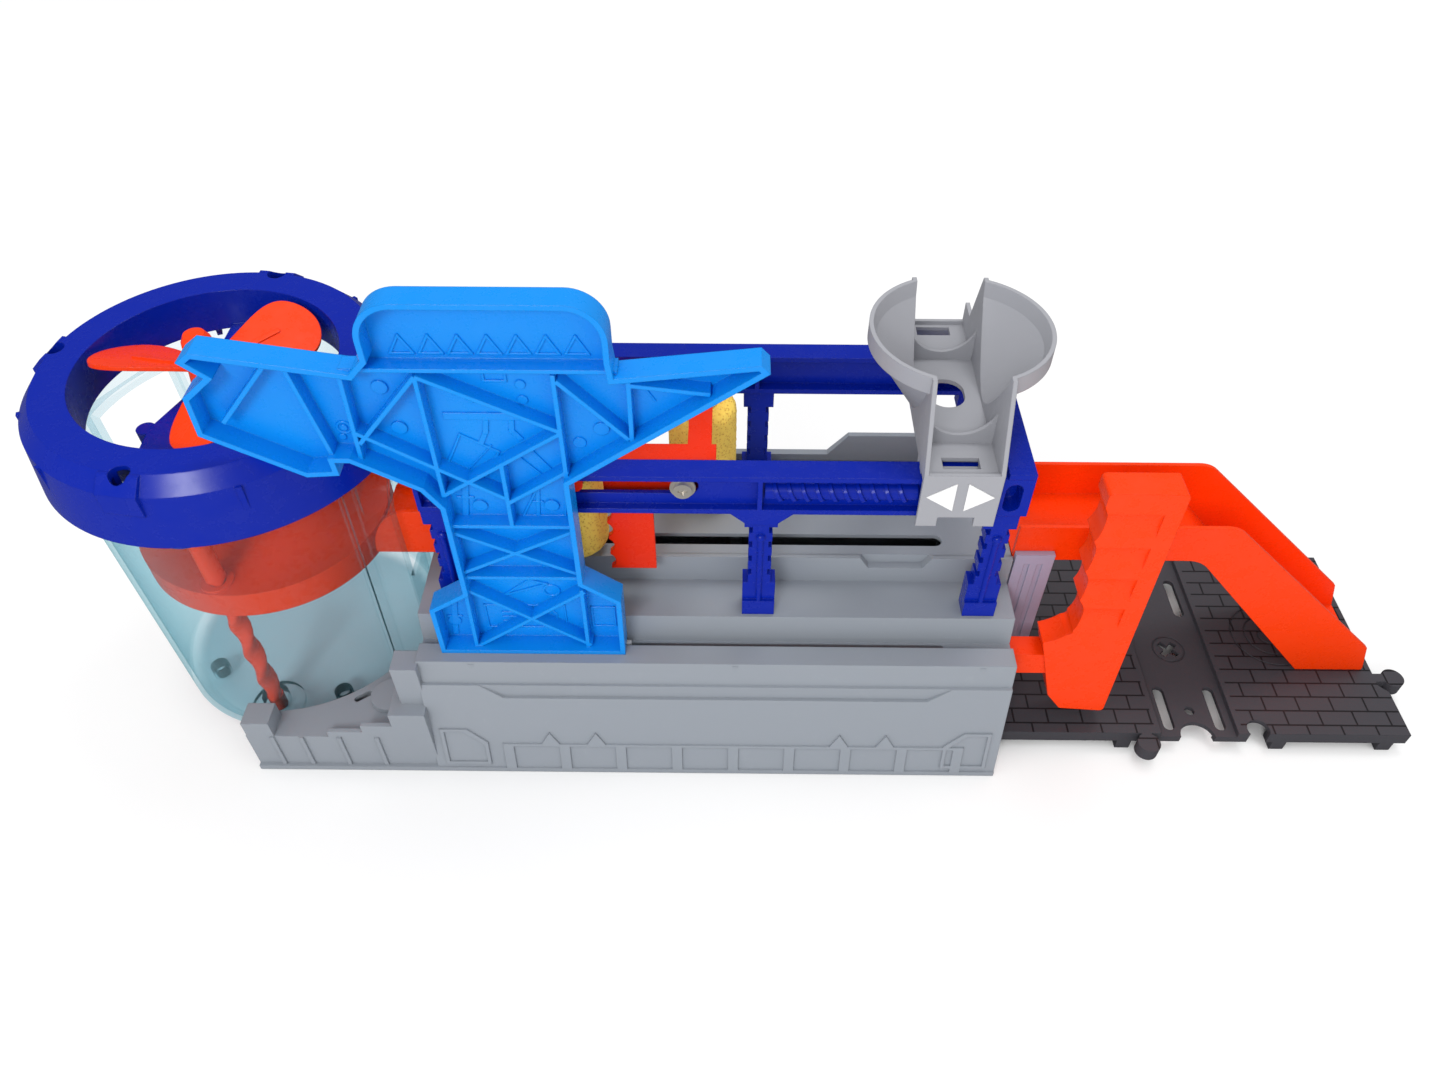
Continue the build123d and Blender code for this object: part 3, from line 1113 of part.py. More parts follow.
# Frame: one beam on three posts, near and far from the same section
def beam_section(front, back, open_front):
    """Outline across one beam, a channel that opens to one side."""
    if open_front:
        web_front = front + beam_recess
        return [
            (front, beam_low_z), (back, beam_low_z), (back, beam_low_z + beam_flange),
            (web_front + beam_web, beam_low_z + beam_flange),
            (web_front + beam_web, beam_top_z - beam_flange),
            (back, beam_top_z - beam_flange), (back, beam_top_z), (front, beam_top_z),
            (front, beam_top_z - beam_flange), (web_front, beam_top_z - beam_flange),
            (web_front, beam_low_z + beam_flange), (front, beam_low_z + beam_flange),
        ]
    mirrored = beam_section(-back, -front, True)
    return [(-y, z) for y, z in reversed(mirrored)]


def post_outline(x):
    """Front outline of one post: foot, notched shaft and head under the beam."""
    low, high = shelf_z + post_foot_rise, beam_low_z - gusset_drop
    pitch, waist = (high - low) / post_notches, post_waist / 2
    side = [(post_foot_width / 2, shelf_z), (post_foot_width / 2, low)]
    for count in range(post_notches):
        foot, shoulder = low + count * pitch, low + (count + post_notch_share) * pitch
        side += [(waist, foot), (waist, shoulder), (waist - post_notch_depth, shoulder),
                 (waist - post_notch_depth, foot + pitch)]
    side += [(post_width / 2, high), (post_width / 2, beam_low_z + beam_flange)]
    return [(x + u, z) for u, z in side] + [(x - u, z) for u, z in reversed(side)]


near_web = near_beam_front + beam_recess
far_web = far_beam_back - beam_recess
slot_mid = (guide_slot_left + guide_slot_right) / 2
with BuildPart() as near_frame:
    with BuildSketch(Plane.YZ.offset(beam_left)):
        with BuildLine():
            Polyline(*beam_section(near_beam_front, near_beam_back, True), close=True)
        make_face()
    extrude(amount=beam_right - beam_left)
    post_front = (near_beam_front + near_beam_back - post_depth) / 2
    for x in post_xs:
        with BuildSketch(Plane.XZ.offset(-post_front)):
            with BuildLine():
                Polyline(*post_outline(x), close=True)
            make_face()
        extrude(amount=-post_depth)
    with BuildSketch(Plane.XZ.offset(-near_beam_front)):
        with Locations((post_xs[1], beam_low_z - (gusset_drop - beam_flange) / 2)):
            Trapezoid(gusset_width, gusset_drop - beam_flange, degrees(atan2(gusset_drop, post_waist)),
                      rotation=180)
    extrude(amount=-(near_beam_back - near_beam_front))
    # Rod with a ball end on each post, and a stepped foot
    with BuildSketch(Plane.XY.offset(shelf_z)):
        with Locations(*[(x, post_front) for x in post_xs]):
            Circle(post_rod_radius)
    extrude(amount=beam_low_z - gusset_drop - post_rod_drop - shelf_z)
    with Locations(*[(x, post_front, beam_low_z - gusset_drop - post_rod_drop) for x in post_xs]):
        Sphere(post_ball_radius)
    with BuildSketch(Plane.XZ.offset(-post_front)):
        with Locations(*[(x, shelf_z + post_step_rise / 2) for x in post_xs]):
            Rectangle(post_foot_width, post_step_rise)
    extrude(amount=post_step_proud)
    # Ribs and end block inside the channel
    with BuildSketch(Plane.XZ.offset(-near_beam_front)):
        with Locations((beam_rib_x, (beam_low_z + beam_top_z) / 2)):
            Rectangle(beam_web, beam_top_z - beam_low_z)
        with Locations(((end_block_left + beam_right) / 2, (beam_low_z + beam_top_z) / 2)):
            Rectangle(beam_right - end_block_left, beam_top_z - beam_low_z)
        with Locations((beam_left + beam_web / 2, (beam_low_z + beam_top_z) / 2)):
            Rectangle(beam_web, beam_top_z - beam_low_z)
    extrude(amount=-(near_beam_back - near_beam_front))
    with BuildSketch(Plane.XZ.offset(-near_beam_front + overrun)):
        with Locations(((end_block_left + beam_right) / 2, (beam_low_z + beam_top_z) / 2)):
            SlotOverall(end_pocket_height, end_pocket_width, rotation=90)
    extrude(amount=-(near_beam_back - near_beam_front - beam_web + overrun), mode=Mode.SUBTRACT)
    with BuildSketch(Plane.XZ.offset(-near_web + overrun)):
        with Locations((slot_mid, guide_slot_z)):
            SlotOverall(guide_slot_right - guide_slot_left, guide_slot_height)
    extrude(amount=-(beam_web + 2 * overrun), mode=Mode.SUBTRACT)
    # Pipe with slanted ridges moulded in the channel
    with BuildSketch(Plane.YZ.offset(pipe_left)):
        with Locations((near_web, pipe_z)):
            Circle(pipe_radius)
    extrude(amount=pipe_length)
    ridge_turn = radians(pipe_ridge_tilt)
    for count in range(pipe_ridges):
        middle = (pipe_left + pipe_ridge_pitch * (count + 1), near_web, pipe_z)
        ridge_plane = Plane(origin=middle, x_dir=(0, 1, 0), z_dir=(cos(ridge_turn), 0, sin(ridge_turn)))
        with BuildSketch(ridge_plane):
            Circle(pipe_ridge_radius)
        extrude(amount=pipe_ridge_width / 2, both=True)
near_frame.part.label = "near_frame"
export_step(near_frame.part, "parts/near_frame.step")

with BuildPart() as far_frame:
    with BuildSketch(Plane.YZ.offset(beam_left)):
        with BuildLine():
            Polyline(*beam_section(far_beam_front, far_beam_back, False), close=True)
        make_face()
    extrude(amount=beam_right - beam_left)
    post_front = (far_beam_front + far_beam_back - post_depth) / 2
    for x in post_xs:
        with BuildSketch(Plane.XZ.offset(-post_front)):
            with BuildLine():
                Polyline(*post_outline(x), close=True)
            make_face()
        extrude(amount=-post_depth)
    with BuildSketch(Plane.XZ.offset(-far_beam_front)):
        for x in (beam_left + beam_web / 2, beam_rib_x, beam_right - beam_web / 2):
            with Locations((x, (beam_low_z + beam_top_z) / 2)):
                Rectangle(beam_web, beam_top_z - beam_low_z)
    extrude(amount=-(far_beam_back - far_beam_front))
    with BuildSketch(Plane.XZ.offset(-far_web + beam_web + overrun)):
        with Locations((slot_mid, guide_slot_z)):
            SlotOverall(guide_slot_right - guide_slot_left, guide_slot_height)
    extrude(amount=-(beam_web + 2 * overrun), mode=Mode.SUBTRACT)
far_frame.part.label = "far_frame"
export_step(far_frame.part, "parts/far_frame.step")

# Two plates tie the beams together over their ends
with BuildPart() as frame_ties:
    with BuildSketch(Plane.XY.offset(beam_top_z)):
        for x in (beam_left + tie_plate_width / 2, beam_right - tie_plate_width / 2):
            with Locations((x, (near_beam_front + far_beam_back) / 2)):
                Rectangle(tie_plate_width, far_beam_back - near_beam_front)
    extrude(amount=tie_plate_thick)
frame_ties.part.label = "frame_ties"
export_step(frame_ties.part, "parts/frame_ties.step")

# Sign panel: an open tray with ribs, standing on the base with its tongue in the trench
sign_points = at_share(sign_outline_shares, sign_left, sign_width, block_top_z, sign_height)
sign_round_points = at_share(sign_round_shares, sign_left, sign_width, block_top_z, sign_height)
sign_back = sign_front + sign_depth
with BuildPart() as sign_panel:
    with BuildSketch(Plane.XZ.offset(-sign_front)):
        with BuildLine():
            Polyline(*sign_points, close=True)
        make_face()
        corners = [v for v in vertices() if (round(v.X, 3), round(v.Y, 3)) in
                   [(round(x, 3), round(z, 3)) for x, z in sign_round_points]]
        fillet(corners, radius=sign_round)
    extrude(amount=-sign_depth)
    with BuildSketch(Plane.XZ.offset(-sign_front + overrun)):
        with BuildLine():
            Polyline(*sign_points, close=True)
        make_face()
        corners = [v for v in vertices() if (round(v.X, 3), round(v.Y, 3)) in
                   [(round(x, 3), round(z, 3)) for x, z in sign_round_points]]
        fillet(corners, radius=sign_round)
        offset(amount=-sign_wall, kind=Kind.INTERSECTION, mode=Mode.REPLACE)
    extrude(amount=-(sign_depth - sign_web + overrun), mode=Mode.SUBTRACT)
    for start, end in sign_rib_shares:
        first, last = at_share((start, end), sign_left, sign_width, block_top_z, sign_height)
        length, middle, turn = rod_between(first, last, 0)
        with BuildSketch(Plane.XZ.offset(-(sign_back - sign_web - sign_rib_depth))):
            with Locations(Location((middle[0], middle[1], 0), (0, 0, 1), turn)):
                Rectangle(length, sign_rib)
        extrude(amount=-(sign_rib_depth + sign_web / 2))
    with BuildSketch(Plane.XZ.offset(-(sign_back - sign_web - sign_disc_proud))):
        with Locations(*at_share(sign_disc_shares, sign_left, sign_width, block_top_z, sign_height)):
            Circle(sign_disc_radius)
    extrude(amount=-(sign_disc_proud + sign_web / 2))
    with BuildSketch(Plane.XY.offset(block_top_z - trench_depth)):
        with Locations(((tongue_left + tongue_right) / 2, (trench_front + trench_back) / 2)):
            Rectangle(tongue_right - tongue_left, trench_back - trench_front - 2 * tongue_gap)
    extrude(amount=trench_depth + sign_wall / 2)
sign_panel.part.label = "sign_panel"
export_step(sign_panel.part, "parts/sign_panel.step")

# Hopper over both beams
hopper_left = hopper_x - hopper_width / 2
rail_high_z = hopper_plate_top_z - hopper_wall
hopper_floor_z = rail_high_z - hopper_floor
channel_half = hopper_width / 2 - hopper_wall
with BuildPart() as hopper:
    with BuildSketch(Plane.XY.offset(hopper_floor_z)):
        with Locations((hopper_x, (hopper_front + hopper_back) / 2)):
            Rectangle(hopper_width, hopper_back - hopper_front)
    extrude(amount=hopper_floor)
    # Bowl, opened along the channel down to its floor
    with BuildSketch(Plane(origin=(hopper_x, hopper_y, 0), x_dir=(1, 0, 0), z_dir=(0, -1, 0))):
        with BuildLine():
            top, low = hopper_rim_z, hopper_floor_z
            Polyline(
                (hopper_throat_radius, low), (hopper_rim_radius - hopper_wall, top - hopper_band),
                (hopper_rim_radius, top - hopper_band), (hopper_rim_radius, top),
                (hopper_rim_radius - hopper_wall, top),
                (hopper_rim_radius - 2 * hopper_wall, top - hopper_band + hopper_wall),
                (hopper_throat_radius - hopper_wall, low + hopper_floor),
                (hopper_throat_radius - hopper_wall, low),
                close=True,
            )
        make_face()
    revolve(axis=Axis((hopper_x, hopper_y, 0), (0, 0, 1)))
    with BuildSketch(Plane.XY.offset(rail_high_z)):
        with Locations((hopper_x, (hopper_front + hopper_back) / 2)):
            Rectangle(2 * channel_half, hopper_back - hopper_front)
    extrude(amount=hopper_rim_z, mode=Mode.SUBTRACT)
    # Channel side walls
    for x in (hopper_left, hopper_left + hopper_width - hopper_wall):
        with BuildSketch(Plane.YZ.offset(x)):
            with BuildLine():
                Polyline(
                    (hopper_front, hopper_floor_z), (hopper_front, rail_high_z + hopper_wall),
                    (hopper_y - hopper_rim_radius + hopper_wall, hopper_rim_z),
                    (hopper_y + hopper_rim_radius - hopper_wall, hopper_rim_z),
                    (hopper_back - hopper_back_run, hopper_back_low_z), (hopper_back, hopper_back_low_z),
                    (hopper_back, hopper_floor_z), close=True,
                )
            make_face()
        extrude(amount=hopper_wall)
    with BuildSketch(Plane(origin=(hopper_x, hopper_y, 0), x_dir=(1, 0, 0), z_dir=(0, -1, 0))):
        with BuildLine():
            Polyline(
                (0, low + hopper_floor), (hopper_throat_radius - hopper_wall, low + hopper_floor),
                (hopper_rim_radius - 2 * hopper_wall, top - hopper_band + hopper_wall),
                (hopper_rim_radius - hopper_wall, top), (hopper_rim_radius - hopper_wall, top + overrun),
                (0, top + overrun), close=True,
            )
        make_face()
    revolve(axis=Axis((hopper_x, hopper_y, 0), (0, 0, 1)), mode=Mode.SUBTRACT)
    # Two low saddles across the channel, their tops curved for a ball
    for side in (-1, 1):
        saddle_y = hopper_y + side * hopper_saddle_reach
        with BuildSketch(Plane.XZ.offset(-saddle_y - hopper_wall / 2)):
            with BuildLine():
                left, right = hopper_x - channel_half, hopper_x + channel_half
                Polyline(
                    (left, rail_high_z + hopper_saddle_high), (left, rail_high_z - hopper_floor / 2),
                    (right, rail_high_z - hopper_floor / 2), (right, rail_high_z + hopper_saddle_high),
                )
                ThreePointArc(
                    (right, rail_high_z + hopper_saddle_high), (hopper_x, rail_high_z + hopper_saddle_low),
                    (left, rail_high_z + hopper_saddle_high),
                )
            make_face()
        extrude(amount=-hopper_wall)
    # Front plate with its notch, and the rear plate
    with BuildSketch(Plane.XZ.offset(-hopper_front)):
        with Locations((hopper_x, (hopper_plate_low_z + hopper_plate_top_z) / 2)):
            Rectangle(hopper_width, hopper_plate_top_z - hopper_plate_low_z)
        with Locations((hopper_x, hopper_plate_low_z + hopper_notch_height / 2)):
            Rectangle(hopper_notch_width, hopper_notch_height, mode=Mode.SUBTRACT)
    extrude(amount=-hopper_wall)
    with BuildSketch(Plane.XZ.offset(-hopper_back)):
        with Locations((hopper_x, (hopper_rear_low_z + hopper_plate_top_z) / 2)):
            Rectangle(hopper_width, hopper_plate_top_z - hopper_rear_low_z)
    extrude(amount=hopper_wall)
    # Rails that run on the beams, and guides between them
    with BuildSketch(Plane.XY.offset(beam_top_z + slide_gap)):
        for y in (near_beam_front + hopper_rail_inset + hopper_rail_width / 2,
                  far_beam_back - hopper_rail_inset - hopper_rail_width / 2):
            with Locations((hopper_x, y)):
                Rectangle(hopper_width, hopper_rail_width)
    extrude(amount=hopper_floor_z - beam_top_z)
    with BuildSketch(Plane.XY.offset(beam_top_z - hopper_guide_drop)):
        for y in (near_beam_back + slide_gap + hopper_guide_thick / 2,
                  far_beam_front - slide_gap - hopper_guide_thick / 2):
            with Locations((hopper_x, y)):
                Rectangle(hopper_width, hopper_guide_thick)
    extrude(amount=hopper_floor_z - beam_top_z + hopper_guide_drop + hopper_floor / 2)
    with BuildSketch(Plane.XY.offset(hopper_floor_z - overrun)):
        with Locations((hopper_x, hopper_oval_y)):
            SlotOverall(hopper_oval_length, hopper_oval_width, rotation=90)
        with Locations((hopper_x, hopper_slot_y)):
            SlotOverall(hopper_slot_length, hopper_slot_width)
        with Locations((hopper_x, hopper_window_y)):
            Rectangle(hopper_window_length, hopper_window_width)
        with Locations((hopper_x, hopper_recess_y)):
            Rectangle(hopper_recess_length, hopper_recess_width)
    extrude(amount=hopper_floor + 2 * overrun, mode=Mode.SUBTRACT)
hopper.part.label = "hopper"
export_step(hopper.part, "parts/hopper.step")

with BuildPart() as arrow_marks:
    mark_z = (hopper_plate_low_z + hopper_notch_height + hopper_plate_top_z) / 2
    with BuildSketch(Plane.XZ.offset(-hopper_front)):
        for side in (-1, 1):
            with BuildLine():
                foot_x = hopper_x + side * arrow_gap / 2
                Polyline(
                    (foot_x, mark_z - arrow_height / 2), (foot_x, mark_z + arrow_height / 2),
                    (foot_x + side * arrow_length, mark_z), close=True,
                )
            make_face()
    extrude(amount=arrow_thick)
arrow_marks.part.label = "arrow_marks"
export_step(arrow_marks.part, "parts/arrow_marks.step")

# Roller carriage: near and far plates joined by two ties, hanging between the beams
panel_front = panel_back - panel_thick
window_right = near_roller_x + roller_radius + roller_window_gap
far_panel_back = far_panel_front + panel_thick
with BuildPart() as roller_carriage:
    with BuildSketch(Plane.XZ.offset(-panel_front)):
        with BuildLine():
            Polyline(
                (panel_left, panel_low_z), (panel_right, panel_low_z), (panel_right, bar_low_z),
                (bar_right, bar_low_z), (bar_right, panel_top_z), (panel_left, panel_top_z), close=True,
            )
        make_face()
        wave_pitch = (bar_low_z - panel_low_z) / wave_count
        for count in range(wave_count):
            with Locations((window_right - wave_pitch / 2 + wave_depth,
                            panel_low_z + wave_pitch * (count + 1 / 2))):
                Circle(wave_pitch / 2, mode=Mode.SUBTRACT)
        with Locations((near_roller_x, (panel_low_z - overrun + bracket_z - slide_gap) / 2)):
            Rectangle(2 * (window_right - near_roller_x), bracket_z - slide_gap - panel_low_z + overrun,
                      mode=Mode.SUBTRACT)
    extrude(amount=-panel_thick)
    # Raised field in the form of a house
    with BuildSketch(Plane.XZ.offset(-panel_front - house_proud)):
        with BuildLine():
            house_x = (window_right + panel_right + wave_depth) / 2
            house_low = panel_low_z + house_roof / 2
            Polyline(
                (house_x - house_width / 2, house_low), (house_x + house_width / 2, house_low),
                (house_x + house_width / 2, house_low + house_height),
                (house_x, house_low + house_height + house_roof),
                (house_x - house_width / 2, house_low + house_height), close=True,
            )
        make_face()
    extrude(amount=-house_proud - panel_thick / 2)
    # Top flange and the two ties
    with BuildSketch(Plane.XY.offset(panel_top_z - panel_thick)):
        with Locations(((panel_left + bar_right) / 2, panel_back + bar_depth / 2)):
            Rectangle(bar_right - panel_left, bar_depth)
    extrude(amount=panel_thick)
    arm_front, arm_back = panel_front + panel_thick / 2, far_panel_front + panel_thick / 2
    with BuildSketch(Plane.XY.offset(panel_top_z - tie_thick)):
        with Locations(((tie_left + tie_right) / 2, (arm_front + arm_back) / 2)):
            Rectangle(tie_right - tie_left, arm_back - arm_front)
        with Locations((far_roller_x, (arm_front + arm_back) / 2)):
            Rectangle(bracket_width, arm_back - arm_front)
        with Locations((near_roller_x, (arm_front + near_roller_y) / 2)):
            Rectangle(bracket_width, near_roller_y - arm_front)
    extrude(amount=tie_thick)
    with BuildSketch(Plane.XZ.offset(-far_panel_front)):
        with Locations(((far_panel_left + far_panel_right) / 2, (far_panel_low_z + panel_top_z) / 2)):
            Rectangle(far_panel_right - far_panel_left, panel_top_z - far_panel_low_z)
    extrude(amount=-panel_thick)
    # Bosses that carry the roller axles
    with BuildSketch(Plane.XY.offset(bracket_z)):
        with Locations((near_roller_x, near_roller_y), (far_roller_x, far_roller_y)):
            Circle(boss_share * bracket_width)
    extrude(amount=panel_top_z - bracket_z)
    # Pegs and the boss that run in the slots of the beams
    with BuildSketch(Plane.XZ.offset(-panel_front)):
        with Locations((peg_x, guide_slot_z)):
            Circle(peg_radius)
    extrude(amount=panel_front - near_web)
    with BuildSketch(Plane.XZ.offset(-far_panel_back)):
        with Locations(*[(x, guide_slot_z) for x in far_peg_xs]):
            Circle(peg_radius)
    extrude(amount=-(far_web - far_panel_back))
    with BuildSketch(Plane.XZ.offset(-panel_front)):
        with Locations((guide_screw_x, guide_slot_z)):
            Rectangle(guide_boss_width, guide_slot_height - 2 * slide_gap)
    extrude(amount=panel_front - near_web + slide_gap)
    with BuildSketch(Plane.XZ.offset(-near_web + slide_gap + overrun)):
        with Locations((guide_screw_x, guide_slot_z)):
            Circle(guide_shank_radius)
    extrude(amount=-(panel_front - near_web + slide_gap + overrun), mode=Mode.SUBTRACT)
    with BuildSketch(Plane.XY.offset(bracket_z - overrun)):
        with Locations((near_roller_x, near_roller_y), (far_roller_x, far_roller_y)):
            Circle(axle_radius)
    extrude(amount=bracket_thick + 2 * overrun, mode=Mode.SUBTRACT)
roller_carriage.part.label = "roller_carriage"
export_step(roller_carriage.part, "parts/roller_carriage.step")

with BuildPart() as guide_washer:
    with BuildSketch(Plane.XZ.offset(-near_web + slide_gap)):
        with Locations((guide_screw_x, guide_slot_z)):
            Circle(washer_radius)
            Circle(guide_shank_radius + seat_gap, mode=Mode.SUBTRACT)
    extrude(amount=washer_thick)
guide_washer.part.label = "guide_washer"
export_step(guide_washer.part, "parts/guide_washer.step")

with BuildPart() as guide_screw:
    with BuildSketch(Plane.XZ.offset(-near_web + slide_gap + washer_thick)):
        with Locations((guide_screw_x, guide_slot_z)):
            Circle(guide_head_radius)
    extrude(amount=guide_head_height)
    with BuildSketch(Plane.XZ.offset(-near_web + slide_gap + washer_thick + guide_head_height)):
        with Locations((guide_screw_x, guide_slot_z)):
            Rectangle(guide_head_radius, washer_thick)
            Rectangle(washer_thick, guide_head_radius)
    extrude(amount=-guide_head_height / 2, mode=Mode.SUBTRACT)
    with BuildSketch(Plane.XZ.offset(-near_web + slide_gap + washer_thick)):
        with Locations((guide_screw_x, guide_slot_z)):
            Circle(guide_shank_radius)
    extrude(amount=-(panel_front - near_web + slide_gap + washer_thick))
guide_screw.part.label = "guide_screw"
export_step(guide_screw.part, "parts/guide_screw.step")

# Rollers: foam on flanged cores that turn on axles
rollers = (("near", near_roller_x, near_roller_y), ("far", far_roller_x, far_roller_y))
for side, x, y in rollers:
    with BuildPart() as roller_core:
        with BuildSketch(Plane.XY.offset(roller_low_z)):
            with Locations((x, y)):
                Circle(core_radius)
        extrude(amount=roller_top_z - roller_low_z)
        for z in (roller_low_z, roller_top_z - core_flange_thick):
            with BuildSketch(Plane.XY.offset(z)):
                with Locations((x, y)):
                    Circle(core_flange_radius)
            extrude(amount=core_flange_thick)
        with BuildSketch(Plane.XY.offset(roller_low_z - overrun)):
            with Locations((x, y)):
                Circle(axle_radius + running_gap)
        extrude(amount=roller_top_z - roller_low_z + 2 * overrun, mode=Mode.SUBTRACT)
    roller_core.part.label = side + "_roller_core"
    export_step(roller_core.part, "parts/" + side + "_roller_core.step")
    with BuildPart() as roller_foam:
        with BuildSketch(Plane.XZ):
            with BuildLine():
                foam_low, foam_high = roller_low_z + core_flange_thick, roller_top_z - core_flange_thick
                Polyline(
                    (core_radius, foam_low), (roller_radius, foam_low), (roller_radius, foam_high),
                    (core_radius, foam_high), close=True,
                )
            make_face()
            rounded = [v for v in vertices() if v.X > core_radius + overrun]
            fillet(rounded, radius=roller_round)
        revolve(axis=Axis.Z)
    roller_foam.part.locate(Location((x, y, 0)))
    roller_foam.part.label = side + "_roller_foam"
    export_step(roller_foam.part, "parts/" + side + "_roller_foam.step")

with BuildPart() as roller_axles:
    axle_low_z = roller_low_z - slide_gap - cap_height
    for side, x, y in rollers:
        with BuildSketch(Plane.XY.offset(axle_low_z)):
            with Locations((x, y)):
                Circle(axle_radius)
        extrude(amount=bracket_z + bracket_thick - axle_low_z)
roller_axles.part.label = "roller_axles"
export_step(roller_axles.part, "parts/roller_axles.step")

with BuildPart() as roller_caps:
    for side, x, y in rollers:
        with BuildSketch(Plane.XY.offset(axle_low_z)):
            with Locations((x, y)):
                Circle(cap_radius)
                Circle(axle_radius, mode=Mode.SUBTRACT)
        extrude(amount=cap_height)
roller_caps.part.label = "roller_caps"
export_step(roller_caps.part, "parts/roller_caps.step")

# Handle, rod and pusher
grip_points = at_share(grip_outline_shares, grip_left, grip_right - grip_left, grip_low_z,
                       grip_top_z - grip_low_z)
with BuildPart() as handle_grip:
    with BuildSketch(Plane.XZ.offset(-grip_front)):
        with BuildLine():
            Polyline(*grip_points, close=True)
        make_face()
        fillet(vertices(), radius=grip_round)
        for count, edge_x in enumerate(finger_edge_xs):
            with Locations((edge_x + finger_bite - finger_radius, finger_first_z + count * finger_pitch)):
                Circle(finger_radius, mode=Mode.SUBTRACT)
    extrude(amount=-(grip_back - grip_front))
    # Finger dents across the front, up to a plain edge
    with BuildSketch(Plane.YZ.offset(grip_left - overrun)):
        for count in range(len(finger_edge_xs)):
            with Locations((grip_front + finger_front_bite - finger_radius,
                            finger_first_z + count * finger_pitch)):
                Circle(finger_radius)
    extrude(amount=grip_right - finger_flange - grip_left, mode=Mode.SUBTRACT)
    with BuildSketch(Plane.YZ.offset(grip_left - overrun)):
        with Locations(((rod_front + rod_back) / 2, (rod_low_z + rod_top_z) / 2)):
            Rectangle(rod_back - rod_front + 2 * seat_gap, rod_top_z - rod_low_z + 2 * seat_gap)
    extrude(amount=rod_right - grip_left + overrun + seat_gap, mode=Mode.SUBTRACT)
    with BuildSketch(Plane.XZ.offset(-grip_back - overrun)):
        with Locations(*[(rod_right - lap_length / 2, z) for z in handle_screw_zs]):
            Circle(pin_screw_radius + seat_gap)
    extrude(amount=(grip_back - rod_back) + 2 * overrun, mode=Mode.SUBTRACT)
handle_grip.part.label = "handle_grip"
export_step(handle_grip.part, "parts/handle_grip.step")

with BuildPart() as handle_rod:
    with BuildSketch(Plane.YZ.offset(rod_left)):
        with Locations(((rod_front + rod_back) / 2, (rod_low_z + rod_top_z) / 2)):
            Rectangle(rod_back - rod_front, rod_top_z - rod_low_z)
            Rectangle(rod_back - rod_front - 2 * shell_wall, rod_top_z - rod_low_z - 2 * shell_wall,
                      mode=Mode.SUBTRACT)
    extrude(amount=rod_right - rod_left)
    with BuildSketch(Plane.YZ.offset(rod_left)):
        with Locations(((rod_front + rod_back) / 2, (rod_low_z + rod_top_z) / 2)):
            Rectangle(rod_back - rod_front, rod_top_z - rod_low_z)
    extrude(amount=shell_wall)
    with BuildSketch(Plane.YZ.offset(rod_right - lap_length)):
        with Locations(((rod_front + rod_back) / 2, (rod_low_z + rod_top_z) / 2)):
            Rectangle(rod_back - rod_front, rod_top_z - rod_low_z)
    extrude(amount=lap_length)
    with BuildSketch(Plane.XZ.offset(-rod_back)):
        with Locations(*[(rod_right - lap_length / 2, z) for z in handle_screw_zs]):
            Circle(pin_screw_radius)
    extrude(amount=(rod_back - rod_front) / 2, mode=Mode.SUBTRACT)
handle_rod.part.label = "handle_rod"
export_step(handle_rod.part, "parts/handle_rod.step")

with BuildPart() as handle_screws:
    with BuildSketch(Plane.XZ.offset(-grip_back)):
        with Locations(*[(rod_right - lap_length / 2, z) for z in handle_screw_zs]):
            Circle(pin_screw_head_radius)
    extrude(amount=-pin_screw_head)
    with BuildSketch(Plane.XZ.offset(-grip_back)):
        with Locations(*[(rod_right - lap_length / 2, z) for z in handle_screw_zs]):
            Circle(pin_screw_radius)
    extrude(amount=(rod_back - rod_front) / 2)
handle_screws.part.label = "handle_screws"
export_step(handle_screws.part, "parts/handle_screws.step")

with BuildPart() as car_pusher:
    with BuildSketch(Plane.XY.offset(rod_low_z)):
        with Locations(((pusher_left + pusher_right) / 2, (rod_front + pusher_back) / 2)):
            Rectangle(pusher_right - pusher_left, pusher_back - rod_front)
    extrude(amount=pusher_thick)
    with BuildSketch(Plane.XY.offset(rod_low_z)):
        with Locations((pusher_left + pusher_fin_length / 2, pusher_fin_y)):
            Rectangle(pusher_fin_length, pusher_fin_width)
    extrude(amount=pusher_fin_top_z - rod_low_z)
    chamfer(edges().group_by(Axis.Z)[-1].filter_by(Axis.Y), length=pusher_fin_width)
    with BuildSketch(Plane.XY.offset(rod_low_z)):
        with Locations((pusher_left + pusher_peg_length / 2, trench_slot_front + trench_slot_width / 2)):
            Rectangle(pusher_peg_length, trench_slot_width - 2 * slide_gap)
    extrude(amount=pusher_peg_top_z - rod_low_z)
    with BuildSketch(Plane.XY.offset(rod_low_z + pusher_thick)):
        with Locations((pusher_left + pusher_fin_length / 2, (rod_front + pusher_back) / 2)):
            Rectangle(shell_wall, pusher_back - rod_front - 2 * shell_wall)
    extrude(amount=pusher_thick)
car_pusher.part.label = "car_pusher"
export_step(car_pusher.part, "parts/car_pusher.step")

